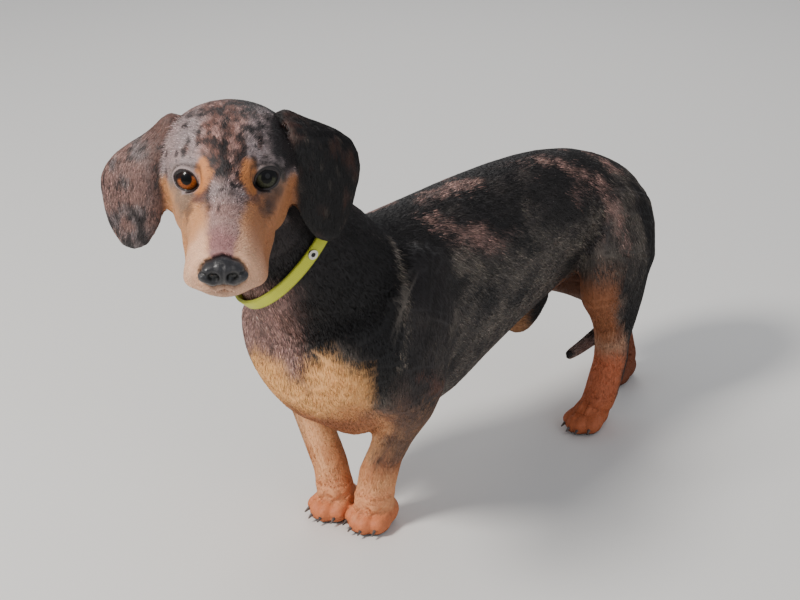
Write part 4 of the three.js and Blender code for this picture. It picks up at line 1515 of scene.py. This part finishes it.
def tuft_mesh(name, tree, root, lie, up, size, rng, spread):
    """One mesh of many thin closed spikes: a root sunk in the skin, a ridge and a tip laid on it."""
    length, width, stand = size
    count = len(root)
    across = unit(np.cross(up, lie))
    turned = rng.normal(0, spread, count)[:, None]
    way = unit(lie * np.cos(turned) + across * np.sin(turned))
    across = unit(np.cross(up, way))
    length, width, stand = length[:, None], width[:, None], stand[:, None]
    sunk = root - up * ROOT_DEPTH
    left = sunk - across * width * 0.5
    right = sunk + across * width * 0.5
    laid = [tree.find_nearest(point)[:2] for point in (root + way * length).tolist()]
    there = np.array([place for place, _ in laid])
    tip = there + np.array([normal for _, normal in laid]) * stand
    # on a round form the middle of a straight spike would sink, so the ridge is raised by that much
    sag = np.clip(((root - there) * up).sum(1), 0, 1.2)[:, None] * 0.3
    rise = 0.18 * width + 0.3 * np.maximum(stand, 0) + sag
    ridge = root + (tip - root) * RIDGE_AT + up * rise
    points = np.stack([left, right, ridge, tip], 1).reshape(-1, 3)
    faces = np.array([(0, 1, 2), (1, 3, 2), (3, 0, 2), (0, 3, 1)])
    faces = (faces[None] + 4 * np.arange(count)[:, None, None]).reshape(-1, 3)
    mesh = bpy.data.meshes.new(name)
    mesh.vertices.add(len(points))
    mesh.loops.add(faces.size)
    mesh.polygons.add(len(faces))
    mesh.vertices.foreach_set("co", to_model(points).astype(np.float32).ravel())
    mesh.loops.foreach_set("vertex_index", faces.astype(np.int32).ravel())
    mesh.polygons.foreach_set("loop_start", np.arange(0, faces.size, 3, dtype=np.int32))
    mesh.update()
    return mesh, faces


def tuft_roots(surface, density, rng):
    """Random places on the skin: the triangle of each and the shares of its corners."""
    area = np.linalg.norm(surface.face_normals(), axis=1) / 2
    wanted = area * density[surface.triangles].mean(1)
    counts = np.floor(wanted + rng.random(len(wanted))).astype(int)
    owner = np.repeat(np.arange(len(counts)), counts)
    a, b = rng.random((2, len(owner)))
    a, b = np.where(a + b > 1, (1 - a, 1 - b), (a, b))
    return owner, np.stack([1 - a - b, a, b], 1)


class DACHSHUND_OT_coat(bpy.types.Operator):
    """Lay the coat over the skin in tufts"""

    bl_idname = "dachshund.coat"
    bl_label = "Coat"

    def execute(self, context):
        settings = context.scene.dachshund_coat
        surface, shares, margins = SKIN["surface"], SKIN["shares"], SKIN["margins"]
        rng = np.random.default_rng(7)
        tree = surface.tree()
        table = np.array([TUFTS[name] for name in PARTS])
        at_point = shares @ table / np.maximum(shares.sum(1), 1e-6)[:, None]
        lie, normals = lie_of_coat(surface, shares)
        # the coat thins to nothing at the lids, lips, nose, soles and under the collar
        clear = ramp(margins, 0.3, 2.0) * ramp(surface.points[:, 2], 1.5, 3.0)
        clear = clear * (1 - SKIN["bare"]) * ramp(distance_to(surface, ["nose"], 3.0), 0.9, 1.8)
        clear = clear * ramp(distance_to(surface, ["collar"], 2.0), 0.4, 1.1)
        claws = [name for name in NODES if name.startswith("claw")]
        clear = clear * ramp(distance_to(surface, claws, 2.0), 0.2, 1.0)
        density = at_point[:, 0] * (clear > 0.15) * settings.density
        owner, corner = tuft_roots(surface, density, rng)
        index = surface.triangles[owner]

        def at_root(values):
            return (values[index] * corner[:, :, None]).sum(1)

        root = at_root(surface.points)
        up = unit(at_root(normals))
        way = unit(at_root(lie))
        share = at_root(shares)
        sizes = at_root(at_point)
        fine = at_root(np.stack([clear, margins], 1))
        # hair is shortest round the eyes and on the muzzle
        place = to_head(root)
        short = 0.45 + 0.55 * ramp(fine[:, 1], 2, 14)
        muzzle = share[:, 0] * ramp(place[:, 1], -18, -45)
        short = short * (1 - 0.35 * muzzle) * (0.5 + 0.5 * fine[:, 0])
        count = len(root)
        length = sizes[:, 1] * short * rng.uniform(0.7, 1.3, count) * settings.length
        width = sizes[:, 2] * rng.uniform(0.7, 1.3, count) * np.clip(short + 0.25, 0.5, 1)
        stand = sizes[:, 3] * rng.uniform(-0.3, 1.2, count) * short
        # neighbouring hairs take their colours from places a little apart, so edges are feathered
        astray = 0.6 + 0.6 * ramp(share[:, 3:].sum(1), 0.3, 0.7)
        colour = markings(root + rng.normal(0, 1, (count, 3)) * astray[:, None], share)
        # grey and rosy hair is ticked dark and pale, tan and black hair is even
        bright = colour.max(1)
        greyness = ramp((bright - colour.min(1)) / bright, 0.78, 0.45) * ramp(bright, 0.008, 0.05)
        ticked = rng.lognormal(0, 0.11 + 0.40 * greyness)[:, None]
        colour = colour * ticked * (1 + rng.normal(0, 0.03, (count, 3)))
        uv = (SKIN["unwrap"][owner] * corner[:, :, None]).sum(1)
        material = {
            "coat_head": coat_material("hair of the head", 0.5),
            "coat_dark": coat_material("dark hair", 0.5),
            "coat_grey": coat_material("dappled hair", 0.52),
            "coat_tan": coat_material("tan hair", 0.5),
        }
        main = share.argmax(1)
        for number, part in enumerate(PARTS):
            mine = np.nonzero(main == number)[0]
            mine = mine[np.argsort(root[mine, 1], kind="stable")]
            pieces = max(1, math.ceil(len(mine) / MOST_TUFTS))
            for k, chosen in enumerate(np.array_split(mine, pieces)):
                name = f"coat_{part}" + (f"_{k + 1}" if pieces > 1 else "")
                size = (length[chosen], width[chosen], stand[chosen])
                at = (root[chosen], way[chosen], up[chosen])
                mesh, faces = tuft_mesh(name, tree, *at, size, rng, settings.spread)
                # a tuft is a little darker at its root and paler at its tip
                shade = np.repeat(colour[chosen], 4, axis=0).reshape(-1, 4, 3)
                shade[:, :2] *= 0.92
                shade[:, 3] *= 1.04
                write_colour(mesh, "marking", np.clip(shade.reshape(-1, 3), 0.002, 0.95))
                corners = np.array([(-PATCH, -PATCH), (PATCH, -PATCH), (0, 0), (0, PATCH)]) / 2
                spots = (uv[chosen][:, None, :] + corners[None]).reshape(-1, 2)
                layer = mesh.uv_layers.new(name="OFBake")
                layer.data.foreach_set("uv", spots[faces.ravel()].astype(np.float32).ravel())
                mesh.materials.append(material[SLOTS[part]])
                made = new_object(name, mesh)
                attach(made, "root")
        return {"FINISHED"}


# Eyes, nose and claws.


def remeshed(solids, voxel, rounds):
    """A smooth closed mesh of a bmesh of solids."""
    mesh = fused(solids, voxel)
    bm = bmesh.new()
    bm.from_mesh(mesh)
    bmesh.ops.triangulate(bm, faces=bm.faces)
    bm.to_mesh(mesh)
    bm.free()
    surface = Surface.of_mesh(mesh)
    surface.smooth(np.ones(len(surface.points)), rounds)
    return mesh, surface


class DACHSHUND_OT_eyes(bpy.types.Operator):
    """Make the two eyeballs"""

    bl_idname = "dachshund.eyes"
    bl_label = "Eyes"

    def execute(self, context):
        settings = context.scene.dachshund_face
        for side, name, iris in ((1, "left", settings.hazel), (-1, "right", settings.amber)):
            bm = bmesh.new()
            bmesh.ops.create_uvsphere(bm, u_segments=64, v_segments=40, radius=EYE_RADIUS / 1000)
            gaze = eye_gaze(side)
            # the clear front of the eye stands a little proud of the ball
            for vertex in bm.verts:
                reach = math.hypot(vertex.co.x, vertex.co.y) * 1000
                if vertex.co.z > 0 and reach < CLEAR_RADIUS:
                    vertex.co.z += CLEAR_HEIGHT / 1000 * (1 - (reach / CLEAR_RADIUS) ** 2)
            turn = Vector(gaze).to_track_quat("Z", "Y").to_matrix().to_4x4()
            place = Matrix.Translation(Vector(to_model(eye_centre(side))))
            bmesh.ops.transform(bm, matrix=place @ turn, verts=bm.verts)
            mesh = mesh_of(bm, f"eyeball_{name}")
            shade_smooth(mesh)
            made = new_object(f"eyeball_{name}", mesh)
            mesh.materials.append(eye_material(f"{name} eye", tuple(iris), side))
            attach(made, "root")
            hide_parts(f"eye_{name}")
        return {"FINISHED"}


NOSTRIL_RADIUS = 2.5
NOSTRIL_DEPTH = 2.8


class DACHSHUND_OT_nose(bpy.types.Operator):
    """Make the nose leather with its nostrils"""

    bl_idname = "dachshund.nose"
    bl_label = "Nose"

    def execute(self, context):
        whole = joined_nodes(["nose"], 0.0002)
        for side in (1, -1):
            wing = Matrix.Translation(Vector(to_model(from_head((side * 6.5, -69.5, -24.0)))))
            bmesh.ops.create_icosphere(whole, subdivisions=3, radius=0.0048, matrix=wing)
        mesh, surface = remeshed(whole, 0.00055, 5)
        place = to_head(surface.points)
        lift = np.zeros(len(place))
        hollow = np.zeros(len(place))
        # lines on the front of the nose, measured nearly as seen from ahead
        front = place * (1, 0.15, 1)
        level = -11
        ahead = ramp(place[:, 1], -62, -67)
        for side in (1, -1):
            lift += lift_round(place, (side * 6.5, -74, -19.5), (4.5, 5, 3.0), 0.7)
            lift += lift_round(place, (side * 10.5, -71, -24.5), (2.8, 4, 3.2), 1.2)
            distance, _ = from_line(front, [(side * 4.5, level, -24.9), (side * 5.6, level, -24.0)])
            hollow = np.maximum(hollow, np.exp(-((distance / NOSTRIL_RADIUS) ** 4)) * ahead)
            distance, _ = from_line(front, [(side * 6.5, level, -23.6), (side * 10.5, level, -22.0)])
            hollow = np.maximum(hollow, 0.5 * np.exp(-((distance / 0.9) ** 2)) * ahead)
        lift -= NOSTRIL_DEPTH * hollow
        distance, _ = from_line(front, [(0, level, -19), (0, level, -32)])
        lift -= 0.9 * np.exp(-((distance / 0.8) ** 2)) * ahead
        surface.points += surface.normals() * lift[:, None]
        surface.smooth(np.ones(len(place)), 1)
        write_points(mesh, surface.points)
        shade_smooth(mesh)
        made = new_object("nose_leather", mesh)
        write_number(mesh, "hollow", hollow)
        mesh.materials.append(nose_material(tuple(context.scene.dachshund_face.leather)))
        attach(made, "root")
        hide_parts("nose")
        return {"FINISHED"}


CLAW_TAPER = 0.4
CLAW_ARCH = 0.9
CLAW_SHORTENED = 0.2


class DACHSHUND_OT_claws(bpy.types.Operator):
    """Make the claws of each paw"""

    bl_idname = "dachshund.claws"
    bl_label = "Claws"

    def execute(self, context):
        material = horn_material(tuple(context.scene.dachshund_face.horn))
        for paw in PAWS:
            names = claw_names(paw)
            mesh, surface = remeshed(joined_nodes(names, 0.00045), 0.0004, 3)
            roots, tips = claw_ends(paw)
            # each claw tapers to its tip, arches and shows less of its length
            claw = np.array([from_line(surface.points, ends)[0] for ends in zip(roots, tips)]).argmin(0)
            root, reach = roots[claw], (tips - roots)[claw]
            along = ((surface.points - root) * reach).sum(1) / (reach * reach).sum(1)
            core = root + reach * along[:, None]
            gone = np.clip(along, 0, 1.3)[:, None]
            slim = (surface.points - core) * (1 - CLAW_TAPER * gone**2)
            arch = np.array((0, 0, CLAW_ARCH)) * gone * (1 - gone)
            surface.points = core + slim - reach * CLAW_SHORTENED * gone + arch
            write_points(mesh, surface.points)
            shade_smooth(mesh)
            made = new_object(f"claws_{paw}", mesh)
            mesh.materials.append(material)
            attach(made, "root")
            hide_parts(*names)
        return {"FINISHED"}


# Collar.

COLLAR_POINT = np.array([11.7, -181.5, 182.5])
COLLAR_NORMAL = unit(np.array([-0.38, -0.67, 0.64]))
COLLAR_WIDTH = 7.0
COLLAR_THICKNESS = 2.0
COLLAR_STEPS = 120


def collar_ring():
    """The neck's outline in the collar's plane, a little outside the skin and smoothed round."""
    tree, _ = solids_tree(["collar"])
    solid = Surface.of_mesh(NODES["collar"].data)
    centre = (solid.points.min(0) + solid.points.max(0)) / 2
    centre = centre - COLLAR_NORMAL * ((centre - COLLAR_POINT) @ COLLAR_NORMAL)
    first = unit(np.cross(COLLAR_NORMAL, (0, 0, 1)))
    second = np.cross(COLLAR_NORMAL, first)
    reach = []
    for angle in np.linspace(0, 2 * math.pi, COLLAR_STEPS, endpoint=False):
        way = first * math.cos(angle) + second * math.sin(angle)
        hit = tree.ray_cast(tuple(centre), tuple(way))
        reach.append(hit[3] if hit[3] is not None else np.nan)
    reach = np.array(reach)
    known = ~np.isnan(reach)
    steps = np.arange(COLLAR_STEPS)
    reach = np.interp(steps, steps[known], reach[known], period=COLLAR_STEPS)
    for _ in range(40):
        reach = reach * 0.5 + (np.roll(reach, 1) + np.roll(reach, -1)) * 0.25
    return centre, first, second, reach


class DACHSHUND_OT_collar(bpy.types.Operator):
    """Make the collar's band and its eyelet"""

    bl_idname = "dachshund.collar"
    bl_label = "Collar"

    def execute(self, context):
        settings = context.scene.dachshund_collar
        centre, first, second, reach = collar_ring()
        bm = bmesh.new()
        circle = bmesh.ops.create_circle(bm, segments=COLLAR_STEPS, radius=1)["verts"]
        start = centre - COLLAR_NORMAL * COLLAR_WIDTH / 2
        for vertex in circle:
            angle = math.atan2(vertex.co.y, vertex.co.x) % (2 * math.pi)
            step = angle / (2 * math.pi) * COLLAR_STEPS
            out = np.interp(step, np.arange(COLLAR_STEPS + 1), [*reach, reach[0]])
            way = first * math.cos(angle) + second * math.sin(angle)
            vertex.co = Vector(to_model(start + way * out))
        wall = bmesh.ops.extrude_edge_only(bm, edges=bm.edges)
        upper = [item for item in wall["geom"] if isinstance(item, bmesh.types.BMVert)]
        bmesh.ops.translate(bm, verts=upper, vec=Vector(COLLAR_NORMAL * COLLAR_WIDTH / 1000))
        bmesh.ops.solidify(bm, geom=bm.faces[:], thickness=-COLLAR_THICKNESS / 1000)
        bmesh.ops.recalc_face_normals(bm, faces=bm.faces)
        rims = [edge for edge in bm.edges if edge.calc_face_angle(0) > math.radians(60)]
        bmesh.ops.bevel(
            bm,
            geom=rims,
            offset=settings.rounding,
            offset_type="OFFSET",
            segments=3,
            profile=0.5,
            material=-1,
            affect="EDGES",
        )
        mesh = mesh_of(bm, "collar_band")
        shade_smooth(mesh)
        surface = Surface.of_mesh(mesh)
        spoke = surface.points - centre
        angle = np.arctan2(spoke @ second, spoke @ first)
        # turns round the neck and place across the band, for each corner, so that the last turn closes
        corner = np.array([loop.vertex_index for loop in mesh.loops])
        sides = [len(polygon.vertices) for polygon in mesh.polygons]
        face = np.repeat(np.arange(len(sides)), sides)
        turn = angle[corner] / (2 * math.pi)
        furthest = np.full(len(mesh.polygons), -1.0)
        np.maximum.at(furthest, face, turn)
        turn = np.where(furthest[face] - turn > 0.5, turn + 1, turn)
        weave = np.stack([turn, (spoke @ COLLAR_NORMAL)[corner] / 1000, 0 * turn], 1)
        layer = mesh.attributes.new("weave", "FLOAT_VECTOR", "CORNER")
        layer.data.foreach_set("vector", weave.astype(np.float32).ravel())
        made = new_object("collar_band", mesh)
        eyelet = tuple(box_centre("collar_eyelet") / 1000)
        mesh.materials.append(band_material(tuple(settings.band), eyelet))
        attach(made, "root")
        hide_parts("collar")
        NODES["collar_eyelet"].data.materials.clear()
        NODES["collar_eyelet"].data.materials.append(metal_material(tuple(settings.metal)))
        return {"FINISHED"}


# Stage.


def area_light(name, place, target, size, power, colour):
    """A round soft light that shines on a place."""
    data = bpy.data.lights.new(name, "AREA")
    data.shape = "DISK"
    data.energy = power
    data.size = size
    data.color = colour
    lamp = bpy.data.objects.new(name, data)
    bpy.context.scene.collection.objects.link(lamp)
    lamp.location = place
    lamp.rotation_euler = (Vector(target) - Vector(place)).to_track_quat("-Z", "Y").to_euler()


class DACHSHUND_OT_stage(bpy.types.Operator):
    """Make the floor, the light and the camera"""

    bl_idname = "dachshund.stage"
    bl_label = "Stage"

    def execute(self, context):
        settings = context.scene.dachshund_stage
        level = math.cos(CAMERA_PITCH)
        ahead = (-math.sin(CAMERA_YAW) * level, math.cos(CAMERA_YAW) * level, -math.sin(CAMERA_PITCH))
        data = bpy.data.cameras.new("camera")
        data.lens = settings.lens
        data.sensor_width = 36
        data.clip_start, data.clip_end = 0.05, 30
        camera = bpy.data.objects.new("camera", data)
        context.scene.collection.objects.link(camera)
        camera.location = to_model(CAMERA_PLACE)
        camera.rotation_euler = Vector(ahead).to_track_quat("-Z", "Y").to_euler()
        context.scene.camera = camera

        bm = bmesh.new()
        bmesh.ops.create_grid(bm, x_segments=1, y_segments=1, size=6)
        floor = new_object("floor", mesh_of(bm, "floor"))
        sheet = Sheet("studio floor")
        floor.data.materials.append(sheet.finish(Base_Color=(*settings.floor, 1), Roughness=0.75))

        world = bpy.data.worlds.new("studio")
        world.use_nodes = True
        sky = world.node_tree.nodes["Background"].inputs
        sky["Color"].default_value = (0.93, 0.95, 1, 1)
        sky["Strength"].default_value = 0.5
        context.scene.world = world
        area_light("key", (-0.35, -1.45, 1.5), (0, -0.05, 0.12), 0.5, settings.key, (1, 0.96, 0.9))
        area_light("fill", (1.6, -0.3, 0.8), (0, 0, 0.12), 1.2, settings.fill, (0.95, 0.97, 1))
        area_light("rim", (-0.9, 1.1, 1.2), (0, 0.05, 0.15), 0.8, settings.rim, (1, 0.98, 0.95))
        return {"FINISHED"}


PANEL_ROWS = [
    ("dachshund_skin", ["dachshund.skin"]),
    ("dachshund_coat", ["dachshund.coat"]),
    ("dachshund_face", ["dachshund.eyes", "dachshund.nose", "dachshund.claws"]),
    ("dachshund_collar", ["dachshund.collar"]),
    ("dachshund_stage", ["dachshund.stage"]),
]


class DACHSHUND_PT_panel(bpy.types.Panel):
    """Lists the dog's pieces"""

    bl_label = "Dachshund"
    bl_idname = "DACHSHUND_PT_panel"
    bl_space_type = "VIEW_3D"
    bl_region_type = "UI"
    bl_category = "Dachshund"

    def draw(self, context):
        for group, operators in PANEL_ROWS:
            box = self.layout.box()
            for name in SETTINGS[group].__annotations__:
                box.prop(getattr(context.scene, group), name)
            for operator in operators:
                box.operator(operator)


SETTINGS = {
    "dachshund_skin": SkinSettings,
    "dachshund_coat": CoatSettings,
    "dachshund_face": FaceSettings,
    "dachshund_collar": CollarSettings,
    "dachshund_stage": StageSettings,
}
CLASSES = [
    *SETTINGS.values(),
    DACHSHUND_OT_skin,
    DACHSHUND_OT_coat,
    DACHSHUND_OT_eyes,
    DACHSHUND_OT_nose,
    DACHSHUND_OT_claws,
    DACHSHUND_OT_collar,
    DACHSHUND_OT_stage,
    DACHSHUND_PT_panel,
]


def register():
    for cls in CLASSES:
        bpy.utils.register_class(cls)
    for name, cls in SETTINGS.items():
        setattr(bpy.types.Scene, name, bpy.props.PointerProperty(type=cls))


def unregister():
    for name in SETTINGS:
        delattr(bpy.types.Scene, name)
    for cls in reversed(CLASSES):
        bpy.utils.unregister_class(cls)


def main():
    register()
    bpy.ops.dachshund.skin()
    bpy.ops.dachshund.coat()
    bpy.ops.dachshund.eyes()
    bpy.ops.dachshund.nose()
    bpy.ops.dachshund.claws()
    bpy.ops.dachshund.collar()
    bpy.ops.dachshund.stage()
    bpy.context.view_layer.update()


if __name__ == "__main__":
    main()
